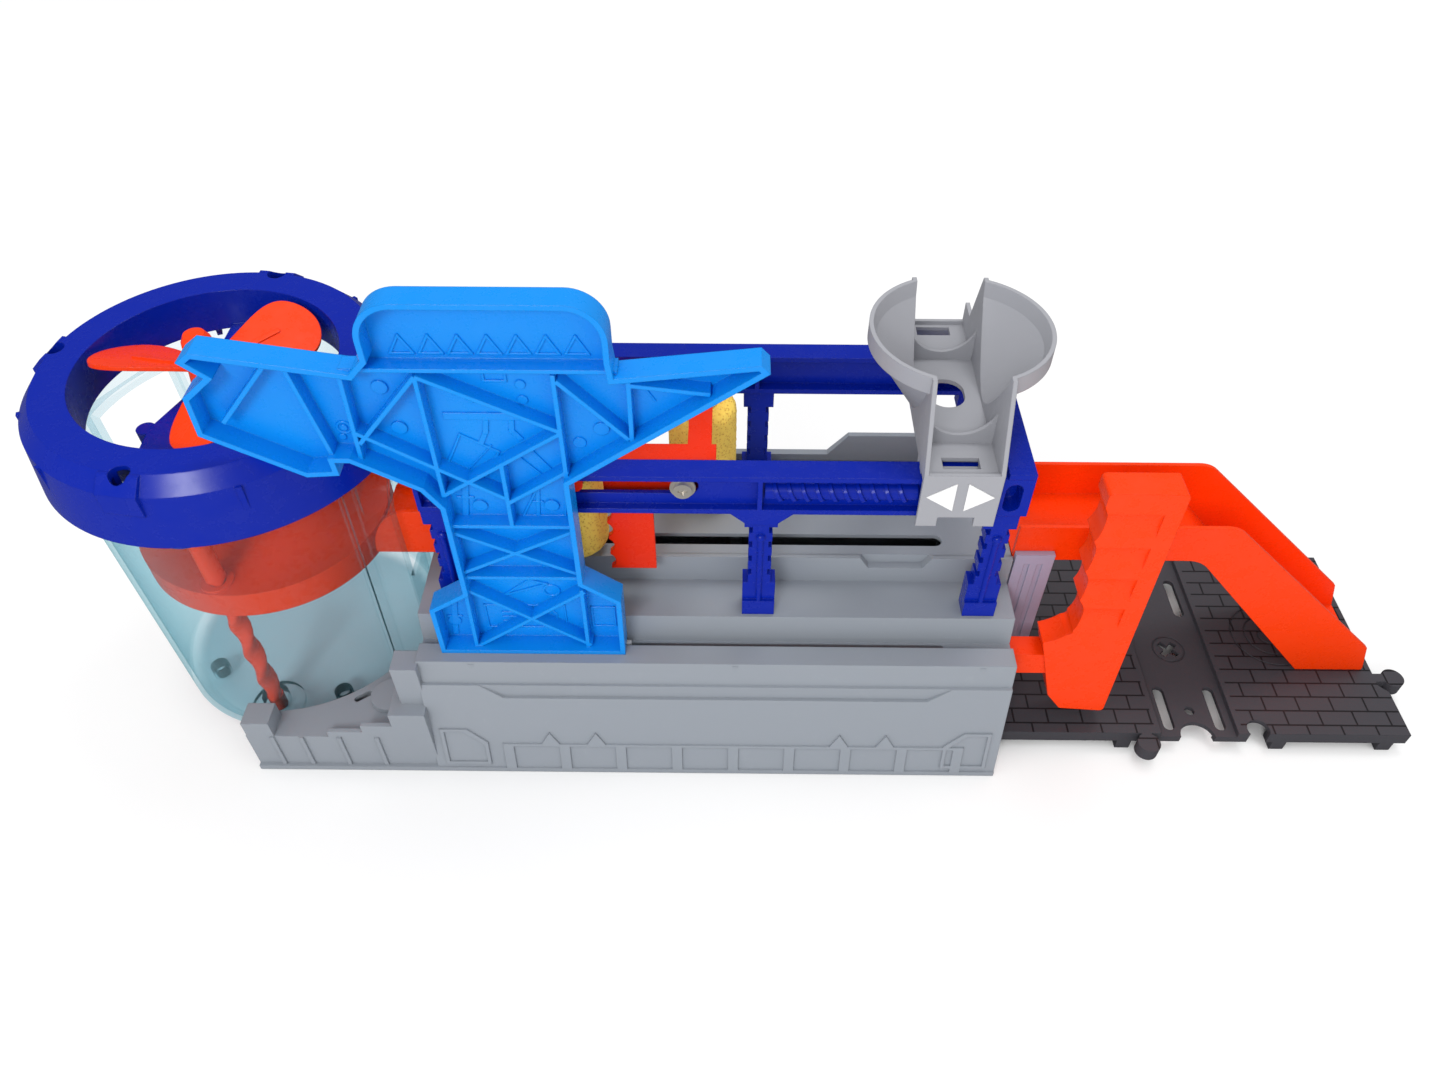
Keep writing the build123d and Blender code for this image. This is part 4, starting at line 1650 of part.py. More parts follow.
# Ramp from the tunnel down over the lane
with BuildPart() as ramp:
    foot_top_z = plate_top_z + ramp_floor
    slope_turn = atan2(table_z - foot_top_z, ramp_foot_left - ramp_low_knee_x)
    slope_shift = ramp_floor / sin(slope_turn) - ramp_floor / (sin(slope_turn) / cos(slope_turn))
    for y in (ramp_front, ramp_back - ramp_wall):
        with BuildSketch(Plane.XZ.offset(-y)):
            with BuildLine():
                Polyline(
                    (ramp_left, table_z - ramp_floor), (ramp_left, ramp_top_z), (ramp_knee_x, ramp_top_z),
                    (ramp_toe_x, ramp_toe_z), (ramp_foot_right, foot_top_z), (ramp_foot_right, plate_top_z),
                    (ramp_foot_left - slope_shift, plate_top_z),
                    (ramp_low_knee_x - slope_shift, table_z - ramp_floor),
                    close=True,
                )
            make_face()
            knees = [v for v in vertices() if ramp_low_knee_x - ramp_floor < v.X < ramp_knee_x + ramp_floor]
            fillet(knees, radius=ramp_round)
        extrude(amount=-ramp_wall)
    with BuildSketch(Plane.XZ.offset(-ramp_front)):
        with BuildLine():
            Polyline(
                (ramp_left, table_z - ramp_floor), (ramp_left, table_z), (ramp_low_knee_x, table_z),
                (ramp_foot_left, foot_top_z), (ramp_foot_right, foot_top_z), (ramp_foot_right, plate_top_z),
                (ramp_foot_left - slope_shift, plate_top_z),
                (ramp_low_knee_x - slope_shift, table_z - ramp_floor),
                close=True,
            )
        make_face()
        knees = [v for v in vertices() if ramp_low_knee_x - ramp_floor < v.X < ramp_low_knee_x + ramp_floor]
        fillet(knees, radius=ramp_round)
    extrude(amount=-(ramp_back - ramp_front))
    with BuildSketch(Plane.XY.offset(plate_top_z)):
        for y in (ramp_front + 2 * foot_peg_radius, ramp_back - 2 * foot_peg_radius):
            with Locations((ramp_foot_right - 2 * foot_peg_radius, y)):
                Circle(foot_peg_radius)
    extrude(amount=-foot_peg_length)
ramp.part.label = "ramp"
export_step(ramp.part, "parts/ramp.step")

with BuildPart() as ramp_support:
    with BuildSketch(Plane.XY.offset(plate_top_z)):
        with Locations((support_left + support_width / 2, ramp_front - support_thick / 2)):
            Rectangle(support_width, support_thick)
        for count in range(support_grooves):
            with Locations((support_left + support_width * (count + 1) / (support_grooves + 1),
                            ramp_front - support_thick)):
                Rectangle(2 * support_groove, support_groove, mode=Mode.SUBTRACT)
        with Locations((support_left + support_width / 2, ramp_front + support_width / 2)):
            Rectangle(support_thick, support_width + support_groove)
    extrude(amount=table_z - ramp_floor - plate_top_z)
    with BuildSketch(Plane.XY.offset(table_z - ramp_floor)):
        with Locations((support_left + support_width / 2, ramp_front - support_thick / 2)):
            Rectangle(support_width, support_thick)
    extrude(amount=2 * support_thick)
ramp_support.part.label = "ramp_support"
export_step(ramp_support.part, "parts/ramp_support.step")

# Road plate
plate_low_z = plate_top_z - plate_skirt
with BuildPart() as road_plate:
    with BuildSketch(Plane.XY.offset(plate_low_z)):
        with BuildLine():
            Polyline(
                (plate_left, plate_front), (plate_right, plate_front), (plate_right, plate_step_y),
                (plate_right - plate_step, plate_step_y + plate_step),
                (plate_right - plate_step, plate_back),
                (plate_left, plate_back), close=True,
            )
        make_face()
        with Locations((male_x, plate_front - joint_reach)):
            Circle(joint_radius)
        with Locations((male_x, plate_front - joint_reach / 2)):
            Rectangle(joint_neck, joint_reach + overrun)
        with Locations((plate_right + joint_reach, side_joint_y)):
            Circle(joint_radius)
        with Locations((plate_right + joint_reach / 2 - plate_step, side_joint_y)):
            Rectangle(joint_reach + 2 * plate_step, joint_neck)
    extrude(amount=plate_skirt)
    with BuildSketch(Plane.XY.offset(plate_low_z - overrun)):
        inset = plate_left + plate_thick, plate_right - plate_step - plate_thick
        with Locations(((inset[0] + inset[1]) / 2, (plate_front + plate_back) / 2)):
            Rectangle(inset[1] - inset[0], plate_back - plate_front - 2 * plate_thick)
    extrude(amount=plate_skirt - plate_thick + overrun, mode=Mode.SUBTRACT)
    # Lane for cars, a shallow trough across the plate
    with BuildSketch(Plane.XY.offset(plate_top_z - lane_drop - plate_thick)):
        with Locations((lane_mid, (plate_front + plate_back) / 2)):
            Rectangle(lane_right - lane_left + 2 * plate_thick, plate_back - plate_front)
    extrude(amount=plate_thick + lane_drop / 2)
    with BuildSketch(Plane.XY.offset(plate_top_z - lane_drop)):
        with Locations((lane_mid, (plate_front + plate_back) / 2)):
            Rectangle(lane_right - lane_left, plate_back - plate_front + 2 * overrun)
    extrude(amount=lane_drop + overrun, mode=Mode.SUBTRACT)
    with BuildSketch(Plane.XY.offset(plate_low_z - overrun)):
        for x in (lane_left + lane_slot_inset + lane_slot_width / 2,
                  lane_right - lane_slot_inset - lane_slot_width / 2):
            with Locations((x, lane_slot_near_y)):
                SlotOverall(lane_slot_length, lane_slot_width, rotation=90)
        with Locations((lane_right - lane_slot_inset - lane_slot_width / 2, lane_slot_far_y)):
            SlotOverall(lane_slot_length, lane_slot_width, rotation=90)
        with Locations((lane_mid, peg_hole_y)):
            Circle(peg_hole_radius)
        with Locations((lane_mid, keyhole_y)):
            for turn in (45, -45):
                Rectangle(2 * keyhole_arm, keyhole_arm_width, rotation=turn)
        with Locations((lane_mid, plate_front)):
            Circle(bay_radius)
        with Locations((socket_x, plate_front + joint_reach / 2)):
            Circle(joint_radius)
        for y in (ramp_front + 2 * foot_peg_radius, ramp_back - 2 * foot_peg_radius):
            with Locations((ramp_foot_right - 2 * foot_peg_radius, y)):
                Circle(foot_peg_radius + seat_gap)
    extrude(amount=plate_skirt + 2 * overrun, mode=Mode.SUBTRACT)
    with BuildSketch(Plane.XY.offset(plate_top_z)):
        for radius in manhole_radii:
            with Locations((manhole_x, manhole_y)):
                Circle(radius)
                Circle(radius - manhole_line, mode=Mode.SUBTRACT)
    extrude(amount=-line_depth, mode=Mode.SUBTRACT)
    with BuildSketch(Plane.XY.offset(plate_top_z - lane_drop)):
        with Locations((lane_mid, keyhole_y)):
            Circle(keyhole_ring)
            Circle(keyhole_ring - manhole_line, mode=Mode.SUBTRACT)
    extrude(amount=-line_depth, mode=Mode.SUBTRACT)
    with BuildSketch(Plane.XY.offset(plate_top_z - plate_thick / 2)):
        with Locations((fin_x, fin_y)):
            Rectangle(fin_length, fin_thick)
    extrude(amount=fin_rise + plate_thick / 2)
    with BuildSketch(Plane.XY):
        for x in foot_xs:
            for y in (plate_front + foot_depth / 2, plate_back - foot_depth / 2):
                with Locations((x, y)):
                    Rectangle(foot_width, foot_depth)
    extrude(amount=plate_top_z - lane_drop)
road_plate.part.label = "road_plate"
export_step(road_plate.part, "parts/road_plate.step")
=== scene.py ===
# %% [markdown]
# # Toy car wash playset
#
# The playset is packed as an exact CAD model. This lesson dresses that model: it gives each
# moulding the plastic it is made of, makes the two foam rollers as real foam, and sets up
# the camera, the table and the lamps. Lengths are in metres, and +Z is up.

# %% Load the frame
import itertools
import json
import math

import bpy
from mathutils import Matrix, Vector


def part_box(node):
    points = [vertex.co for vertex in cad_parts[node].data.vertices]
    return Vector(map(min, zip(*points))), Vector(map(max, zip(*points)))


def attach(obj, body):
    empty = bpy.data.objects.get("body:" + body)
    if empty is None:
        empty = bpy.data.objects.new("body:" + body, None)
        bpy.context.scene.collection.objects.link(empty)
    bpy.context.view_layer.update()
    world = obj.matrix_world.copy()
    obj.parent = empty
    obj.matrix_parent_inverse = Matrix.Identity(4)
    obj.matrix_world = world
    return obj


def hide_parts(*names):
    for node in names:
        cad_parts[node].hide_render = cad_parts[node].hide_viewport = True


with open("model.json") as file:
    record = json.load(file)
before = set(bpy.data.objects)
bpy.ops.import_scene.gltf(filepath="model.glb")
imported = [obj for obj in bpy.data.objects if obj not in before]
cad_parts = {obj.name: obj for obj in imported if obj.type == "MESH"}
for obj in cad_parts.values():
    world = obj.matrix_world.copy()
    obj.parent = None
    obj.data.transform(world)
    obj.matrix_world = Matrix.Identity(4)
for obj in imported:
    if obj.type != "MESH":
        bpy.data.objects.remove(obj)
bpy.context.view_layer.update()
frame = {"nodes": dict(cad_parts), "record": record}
nodes = frame["nodes"]
MM = 0.001

# %% [markdown]
# ## Camera
#
# The photograph looks down at the open back of the toy from about 46 degrees, close enough
# for the tower to lean. A camera is placed by its focal length and by the direction that it
# looks in. The focal length is worked out from the picture's width in pixels.

# %% Camera at the photograph's place
PHOTO_WIDTH_PX, PHOTO_FOCAL_PX, SENSOR_MM = 1445, 1072, 36.0
CAMERA_PLACE = Vector((-24, -362, 460)) * MM
PITCH, ROLL, YAW = math.radians(46.5), math.radians(-0.2), math.radians(-0.4)

forward = Vector((math.sin(YAW) * math.cos(PITCH), math.cos(YAW) * math.cos(PITCH), -math.sin(PITCH)))
level = Vector((math.cos(YAW), -math.sin(YAW), 0))
down = forward.cross(level)
if down.z > 0:
    down = -down
right = level * math.cos(ROLL) + down * math.sin(ROLL)
down = down * math.cos(ROLL) - level * math.sin(ROLL)

camera_data = bpy.data.cameras.new("photo_camera")
camera_data.sensor_width = SENSOR_MM
camera_data.lens = SENSOR_MM * PHOTO_FOCAL_PX / PHOTO_WIDTH_PX
camera = bpy.data.objects.new("photo_camera", camera_data)
bpy.context.collection.objects.link(camera)
axes = Matrix((right, -down, -forward)).transposed()
camera.matrix_world = Matrix.Translation(CAMERA_PLACE) @ axes.to_4x4()
bpy.context.scene.camera = camera
print("lens in mm:", round(camera_data.lens, 1))

# %% [markdown]
# ## Helpers for materials
#
# Every finish here is a node tree. One helper adds a node, sets its values and links its
# inputs. Colours are written as the hex values that a screen shows, and one function turns
# them into the linear values that the renderer works in.


# %% Node and colour helpers
def linear(hex_colour):
    """A colour as the screen shows it, turned into linear light."""
    values = [int(hex_colour[i:i + 2], 16) / 255 for i in (1, 3, 5)]
    return tuple(v / 12.92 if v <= 0.04045 else ((v + 0.055) / 1.055) ** 2.4 for v in values) + (1.0,)


def add_node(tree, kind, links=None, **settings):
    """Adds a node. settings are its properties or inputs; links feed inputs from outputs."""
    node = tree.nodes.new(kind)
    for name, value in settings.items():
        if hasattr(node, name):
            setattr(node, name, value)
        else:
            node.inputs[name.replace("_", " ")].default_value = value
    for name, source in (links or {}).items():
        tree.links.new(source, node.inputs[name])
    return node


def new_material(name):
    """An empty node material and its tree."""
    material = bpy.data.materials.new(name)
    material.use_nodes = True
    material.node_tree.nodes.clear()
    return material, material.node_tree


def per_mm(length):
    """Pattern scale, in repeats per metre, for a feature of that many millimetres."""
    return 1 / (length * MM)


# %% [markdown]
# ## Moulded ABS
#
# Nearly every piece is injection-moulded ABS. The eye reads it by a tight, slightly uneven
# gloss: the mould's polish gives the sheen, shrinkage gives a faint ripple, and handling
# leaves fine scuffs that are paler and duller. Colour noise, roughness noise and a small
# bump give these three, each at its real size. A moulding has no knife edge, so a Bevel node
# rounds the light on its edges. It leaves the mesh alone, which an exact CAD piece needs.


# %% Moulded plastic
RIPPLE_MM, SCUFF_MM, GRAIN_MM, MOULD_EDGE_MM = 9.0, 9.6, 0.5, 0.6
RIPPLE_DEEP_MM, GRAIN_DEEP_MM, RIPPLE_SHARE, SCUFF_SHARE = 0.4, 0.08, 0.10, 0.16
POLISHED, SCUFFED = 0.85, 1.45
ABS_IOR = 1.54


def moulded_abs(name, colour, pale, roughness, grain=0.05, sheen=0.3):
    """Injection-moulded ABS: body colour with faint scuffs, ripple and grain."""
    material, tree = new_material(name)
    place = add_node(tree, "ShaderNodeTexCoord").outputs["Object"]
    scuff = add_node(tree, "ShaderNodeTexNoise", {"Vector": place},
                     Scale=per_mm(SCUFF_MM), Detail=6.0, Roughness=0.7)
    mask = add_node(tree, "ShaderNodeMapRange", {"Value": scuff.outputs["Fac"]},
                    From_Min=0.60, From_Max=0.82, To_Min=0.0, To_Max=SCUFF_SHARE)
    tint = add_node(tree, "ShaderNodeMix", {"Factor": mask.outputs["Result"]}, data_type="RGBA")
    tint.inputs[6].default_value, tint.inputs[7].default_value = linear(colour), linear(pale)
    dull = add_node(tree, "ShaderNodeMapRange", {"Value": scuff.outputs["Fac"]}, From_Min=0.3,
                    From_Max=0.8, To_Min=roughness * POLISHED, To_Max=roughness * SCUFFED)
    ripple = add_node(tree, "ShaderNodeTexNoise", {"Vector": place}, Scale=per_mm(RIPPLE_MM), Detail=1.0)
    fine = add_node(tree, "ShaderNodeTexNoise", {"Vector": place}, Scale=per_mm(GRAIN_MM), Detail=2.0)
    edge = add_node(tree, "ShaderNodeBevel", Radius=MOULD_EDGE_MM * MM)
    wave = add_node(tree, "ShaderNodeBump", {
        "Height": ripple.outputs["Fac"], "Normal": edge.outputs["Normal"],
    }, Strength=RIPPLE_SHARE, Distance=RIPPLE_DEEP_MM * MM)
    bump = add_node(tree, "ShaderNodeBump", {
        "Height": fine.outputs["Fac"], "Normal": wave.outputs["Normal"],
    }, Strength=grain, Distance=GRAIN_DEEP_MM * MM)
    shader = add_node(tree, "ShaderNodeBsdfPrincipled", {
        "Base Color": tint.outputs[2], "Roughness": dull.outputs["Result"],
        "Normal": bump.outputs["Normal"],
    }, IOR=ABS_IOR, Specular_IOR_Level=sheen)
    add_node(tree, "ShaderNodeOutputMaterial", {"Surface": shader.outputs["BSDF"]})
    return material


finishes = {
    "base_grey": moulded_abs("grey_moulded_abs", "#8E949C", "#A9AFB5", 0.38, grain=0.12),
    "frame_blue": moulded_abs("royal_blue_moulded_abs", "#02209A", "#0C33AC", 0.24, sheen=0.32),
    "sign_blue": moulded_abs("sky_blue_moulded_abs", "#0488E2", "#1496EC", 0.26, sheen=0.34),
    "orange": moulded_abs("orange_moulded_abs", "#F63C02", "#FA5214", 0.26, sheen=0.3),
    "carriage_red": moulded_abs("red_orange_moulded_abs", "#E62A02", "#EE3E0E", 0.26, sheen=0.3),
    "silver_grey": moulded_abs("silver_grey_moulded_abs", "#9C9DA3", "#B4B4B8", 0.40, grain=0.08),
    "support_lilac": moulded_abs("lilac_grey_moulded_abs", "#A39FB6", "#B8B4C8", 0.42),
    "inner_white": moulded_abs("white_moulded_acetal", "#DCDCD8", "#ECECEA", 0.38),
    "mark_white": moulded_abs("white_printed_ink", "#EDEDED", "#F4F4F4", 0.45),
}
print("moulded finishes:", len(finishes))

# %% [markdown]
# ## Road plate
#
# The plate is the same plastic in charcoal, and its top carries a shallow pattern of paving
# bricks. The joints are 0.6 mm deep, so a bump from a brick texture shows them well. A mask
# keeps them to the flat top beside the car lane, and painted shade keeps the joints dark.

# %% Charcoal plate with paving bricks
BRICK_LONG_MM, BRICK_SHORT_MM, MORTAR_MM, BRICK_DEEP_MM = 17.0, 8.5, 0.9, 0.6
# The joint colour is painted shade for the grooves between the bricks
PAINTED_JOINT_SHADE, FACES_UP = "#1C1B1F", 0.9
LANE_LEFT, LANE_RIGHT = 188 * MM, 231 * MM


def paved_plate(name, colour, pale, roughness):
    """Charcoal moulded plate whose top has bricks on both sides of the lane."""
    material = moulded_abs(name, colour, pale, roughness, grain=0.15)
    tree = material.node_tree
    shader = next(n for n in tree.nodes if n.bl_idname == "ShaderNodeBsdfPrincipled")
    place = add_node(tree, "ShaderNodeTexCoord").outputs["Object"]
    bricks = add_node(tree, "ShaderNodeTexBrick", {"Vector": place}, Scale=1.0, offset=0.5)
    bricks.inputs["Brick Width"].default_value = BRICK_LONG_MM * MM
    bricks.inputs["Row Height"].default_value = BRICK_SHORT_MM * MM
    bricks.inputs["Mortar Size"].default_value = MORTAR_MM * MM / 2
    bricks.inputs["Color1"].default_value = bricks.inputs["Color2"].default_value = (1, 1, 1, 1)
    bricks.inputs["Mortar"].default_value = (0, 0, 0, 1)
    parts = add_node(tree, "ShaderNodeSeparateXYZ", {"Vector": place})
    from_lane = add_node(tree, "ShaderNodeMath", {0: parts.outputs["X"]}, operation="SUBTRACT")
    from_lane.inputs[1].default_value = (LANE_LEFT + LANE_RIGHT) / 2
    away = add_node(tree, "ShaderNodeMath", {0: from_lane.outputs[0]}, operation="ABSOLUTE")
    beside = add_node(tree, "ShaderNodeMath", {0: away.outputs[0]}, operation="GREATER_THAN")
    beside.inputs[1].default_value = (LANE_RIGHT - LANE_LEFT) / 2
    normal = add_node(tree, "ShaderNodeNewGeometry").outputs["Normal"]
    facing = add_node(tree, "ShaderNodeSeparateXYZ", {"Vector": normal})
    upward = add_node(tree, "ShaderNodeMath", {0: facing.outputs["Z"]}, operation="GREATER_THAN")
    upward.inputs[1].default_value = FACES_UP
    mask = add_node(tree, "ShaderNodeMath", {0: beside.outputs[0], 1: upward.outputs[0]},
                    operation="MULTIPLY")
    old_normal = shader.inputs["Normal"].links[0].from_socket
    bump = add_node(tree, "ShaderNodeBump", {
        "Height": bricks.outputs["Color"], "Normal": old_normal, "Strength": mask.outputs[0],
    }, Distance=BRICK_DEEP_MM * MM)
    tree.links.new(bump.outputs["Normal"], shader.inputs["Normal"])
    # Painted shade keeps the joints between the bricks darker than their tops
    joint = add_node(tree, "ShaderNodeMath", {1: bricks.outputs["Color"]}, operation="SUBTRACT")
    joint.inputs[0].default_value = 1.0
    shade = add_node(tree, "ShaderNodeMath", {0: joint.outputs[0], 1: mask.outputs[0]},
                     operation="MULTIPLY")
    old_colour = shader.inputs["Base Color"].links[0].from_socket
    dark = add_node(tree, "ShaderNodeMix", {"Factor": shade.outputs[0]}, data_type="RGBA")
    tree.links.new(old_colour, dark.inputs[6])
    dark.inputs[7].default_value = linear(PAINTED_JOINT_SHADE)
    tree.links.new(dark.outputs[2], shader.inputs["Base Color"])
    return material


finishes["plate_dark"] = paved_plate("charcoal_moulded_abs", "#414046", "#55545A", 0.5)
print("brick in mm:", BRICK_LONG_MM, BRICK_SHORT_MM)

# %% [markdown]
# ## Clear teal tank
#
# The tank is clear styrene with a little teal dye. Seen flat-on it hardly hides what is
# behind, and seen along the wall it turns teal, because more dye is in the way. A sight line
# passes four wall faces, whose tints multiply, so each one is pale.
# Layer Weight gives that change with the angle: it tints the light that comes through, and
# drives how much of the shiny surface covers it.

# %% Clear teal styrene
STYRENE_IOR, LEAST_COVER, MOST_COVER = 1.59, 0.02, 0.24


def clear_styrene(name, colour, face_tint, edge_tint):
    """Dyed clear styrene, which tints what lies behind it more towards its edges."""
    material, tree = new_material(name)
    weight = add_node(tree, "ShaderNodeLayerWeight", Blend=0.35)
    dye = add_node(tree, "ShaderNodeMix", {"Factor": weight.outputs["Facing"]}, data_type="RGBA")
    dye.inputs[6].default_value, dye.inputs[7].default_value = linear(face_tint), linear(edge_tint)
    behind = add_node(tree, "ShaderNodeBsdfTransparent", {"Color": dye.outputs[2]})
    surface = add_node(tree, "ShaderNodeBsdfPrincipled", Roughness=0.08, IOR=STYRENE_IOR)
    surface.inputs["Base Color"].default_value = linear(colour)
    cover = add_node(tree, "ShaderNodeMapRange", {"Value": weight.outputs["Facing"]},
                     From_Min=0.25, From_Max=0.97, To_Min=LEAST_COVER, To_Max=MOST_COVER)
    wall = add_node(tree, "ShaderNodeMixShader", {
        0: cover.outputs["Result"], 1: behind.outputs[0], 2: surface.outputs[0],
    })
    add_node(tree, "ShaderNodeOutputMaterial", {"Surface": wall.outputs[0]})
    return material


finishes["tank_teal"] = clear_styrene("clear_teal_styrene", "#AAD0DA", "#FCFDFE", "#CDE9EF")
print("styrene refracts:", STYRENE_IOR)

# %% [markdown]
# ## Zinc-plated steel
#
# The guide screw, the washer and the hidden fasteners are zinc-plated steel. Plating is
# bright but not a mirror, with a fine grain, so metallic is part way and the roughness is
# broken up by noise.

# %% Zinc-plated steel
PLATING_GRAIN_MM, BRIGHT, WORN, METAL_SHARE = 0.6, 0.22, 0.42, 0.8


def plated_steel(name, colour):
    """Bright zinc plating with a fine grain."""
    material, tree = new_material(name)
    place = add_node(tree, "ShaderNodeTexCoord").outputs["Object"]
    noise = add_node(tree, "ShaderNodeTexNoise", {"Vector": place},
                     Scale=per_mm(PLATING_GRAIN_MM), Detail=3.0)
    rough = add_node(tree, "ShaderNodeMapRange", {"Value": noise.outputs["Fac"]},
                     To_Min=BRIGHT, To_Max=WORN)
    shader = add_node(tree, "ShaderNodeBsdfPrincipled", {"Roughness": rough.outputs["Result"]},
                      Metallic=METAL_SHARE)
    shader.inputs["Base Color"].default_value = linear(colour)
    add_node(tree, "ShaderNodeOutputMaterial", {"Surface": shader.outputs["BSDF"]})
    return material


finishes["steel"] = plated_steel("zinc_plated_steel", "#E6E0D6")
print("plating grain in mm:", PLATING_GRAIN_MM)

# %% [markdown]
# ## Foam
#
# The rollers are open-cell polyurethane foam, which scatters light softly and is full of
# small pores. A cell pattern at the real pore size dents the pores and paints shade into them.

# %% Open-cell foam
PORE_MM, PORE_DEEP_MM, PORE_SHARE, FOAM_ROUGHNESS, FOAM_IOR = 1.3, 0.5, 0.6, 0.95, 1.5


def open_cell_foam(name, colour, painted_pore_shade):
    """Soft foam with pores of about a millimetre."""
    material, tree = new_material(name)
    place = add_node(tree, "ShaderNodeTexCoord").outputs["Object"]
    cells = add_node(tree, "ShaderNodeTexVoronoi", {"Vector": place}, Scale=per_mm(PORE_MM))
    depth = add_node(tree, "ShaderNodeMapRange", {"Value": cells.outputs["Distance"]},
                     From_Min=0.0, From_Max=0.42)
    # The pores are darkened with painted shade, mixed in by the cell pattern
    tint = add_node(tree, "ShaderNodeMix", {"Factor": depth.outputs["Result"]}, data_type="RGBA")
    tint.inputs[6].default_value, tint.inputs[7].default_value = linear(painted_pore_shade), linear(colour)
    bump = add_node(tree, "ShaderNodeBump", {"Height": depth.outputs["Result"]},
                    Strength=PORE_SHARE, Distance=PORE_DEEP_MM * MM)
    shader = add_node(tree, "ShaderNodeBsdfPrincipled", {
        "Base Color": tint.outputs[2], "Normal": bump.outputs["Normal"],
    }, Roughness=FOAM_ROUGHNESS, IOR=FOAM_IOR)
    add_node(tree, "ShaderNodeOutputMaterial", {"Surface": shader.outputs["BSDF"]})
    return material


finishes["foam_gold"] = open_cell_foam("golden_open_cell_foam", "#FFDA62", "#D4922A")
print("finishes in all:", len(finishes))

# %% [markdown]
# ## Dressing the CAD nodes
#
# The real pieces are moulded, each in one plastic. They could be painted one by one, but the
# record already says which slot each node takes its finish from, so one loop dresses them.

# %% Finishes on the CAD nodes
for entry in frame["record"]["subparts"]:
    node = nodes[entry["node"]]
    node.data.materials.clear()
    node.data.materials.append(finishes[entry["material_slot"]])

# %% [markdown]
# ## Foam rollers
#
# Each roller is a drum of foam with soft shoulders. The drum starts as a cylinder of the
# size that the frame states, its rims are bevelled, and a remesh gives it even small faces
# that a displacement can roughen as torn cells. It is kept a little inside the drum, so
# that it never stands out of its place.

# %% Foam rollers
SHOULDER_MM, FOAM_VOXEL_MM, CELL_RELIEF_MM, CELL_MM = 5.0, 0.7, 0.5, 1.6
MERGE_MM, FLAT_END = 0.001, 0.9
foam_texture = bpy.data.textures.new("torn_cells", "CLOUDS")
foam_texture.noise_scale = CELL_MM * MM
foam_texture.noise_depth = 2


def foam_roller(name, node_name, body):
    """A foam drum in place of its plain solid."""
    low, high = (Vector(c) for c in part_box(node_name))
    centre, size = (low + high) / 2, high - low
    bpy.ops.object.select_all(action="DESELECT")
    bpy.ops.mesh.primitive_cylinder_add(vertices=96, radius=size.x / 2 - CELL_RELIEF_MM * MM / 2,
                                        depth=size.z, location=centre)
    drum = bpy.context.object
    drum.name = drum.data.name = name
    bpy.ops.object.transform_apply(location=True, rotation=True, scale=True)
    bpy.ops.object.mode_set(mode="EDIT")
    bpy.ops.mesh.select_all(action="SELECT")
    bpy.ops.mesh.remove_doubles(threshold=MERGE_MM * MM)
    bpy.ops.mesh.select_mode(type="FACE")
    bpy.ops.mesh.select_all(action="DESELECT")
    bpy.ops.object.mode_set(mode="OBJECT")
    for face in drum.data.polygons:
        face.select = abs(face.normal.z) > FLAT_END
    bpy.ops.object.mode_set(mode="EDIT")
    bpy.ops.mesh.bevel(offset=SHOULDER_MM * MM, segments=5)
    bpy.ops.object.mode_set(mode="OBJECT")
    remesh = drum.modifiers.new("even_faces", "REMESH")
    remesh.mode, remesh.voxel_size = "VOXEL", FOAM_VOXEL_MM * MM
    remesh.use_smooth_shade = True
    bpy.ops.object.modifier_apply(modifier=remesh.name)
    relief = drum.modifiers.new("torn_cells", "DISPLACE")
    relief.texture, relief.texture_coords = foam_texture, "LOCAL"
    relief.strength, relief.mid_level = CELL_RELIEF_MM * MM, 0.9
    bpy.ops.object.modifier_apply(modifier=relief.name)
    drum.data.materials.append(finishes["foam_gold"])
    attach(drum, body)
    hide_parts(node_name)
    print(name, "faces:", len(drum.data.polygons))


foam_roller("near_foam_drum", "near_roller_foam", "near_roller")
foam_roller("far_foam_drum", "far_roller_foam", "far_roller")

# %% [markdown]
# ## Raised details inside the sign
#
# The sign's skin carries shallow moulded details between its ribs: a row of truss triangles,
# pipes with flanges, plates, bolts and a gauge. They stand about 0.6 mm proud. A picture of
# them could be drawn as a bump, but real edges catch the light better. So each is a bar, a
# round pad or a ring, placed in millimetres along and above the sign's foot.

# %% Bars, pads and rings on the sign
RELIEF_MM, STEP_MM, STEPS = 0.7, 0.02, 7
SIGN_HEIGHT_MM, WEB_FROM_BACK_MM = 187.0, 1.8
PAD_SIDES, RING_SIDES, RING_ROUND = 32, 40, 8
FACING_FRONT = (math.pi / 2, 0, 0)
sign_low, sign_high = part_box("sign_panel")
sign_foot = sign_high.z - SIGN_HEIGHT_MM * MM
web_back = sign_high.y - WEB_FROM_BACK_MM * MM


def on_sign(run, rise):
    """A place on the skin, from millimetres along and above the sign's foot."""
    return Vector((sign_low.x + run * MM, web_back, sign_foot + rise * MM))


def relief_of(count):
    """Bars step through seven heights, so those that cross don't share a plane and flicker."""
    return (RELIEF_MM - STEP_MM * (count % STEPS)) * MM


turns = itertools.count()


def raised_bar(start, end, width):
    """A straight raised bar between two places."""
    a, b = on_sign(*start), on_sign(*end)
    turn = -math.atan2(b.z - a.z, b.x - a.x)
    bpy.ops.mesh.primitive_cube_add(size=1, location=(a + b) / 2, rotation=(0, turn, 0))
    bar = bpy.context.object
    bar.scale = ((b - a).length + width * MM, 2 * relief_of(next(turns)), width * MM)
    bpy.ops.object.transform_apply(location=True, rotation=True, scale=True)
    return bar


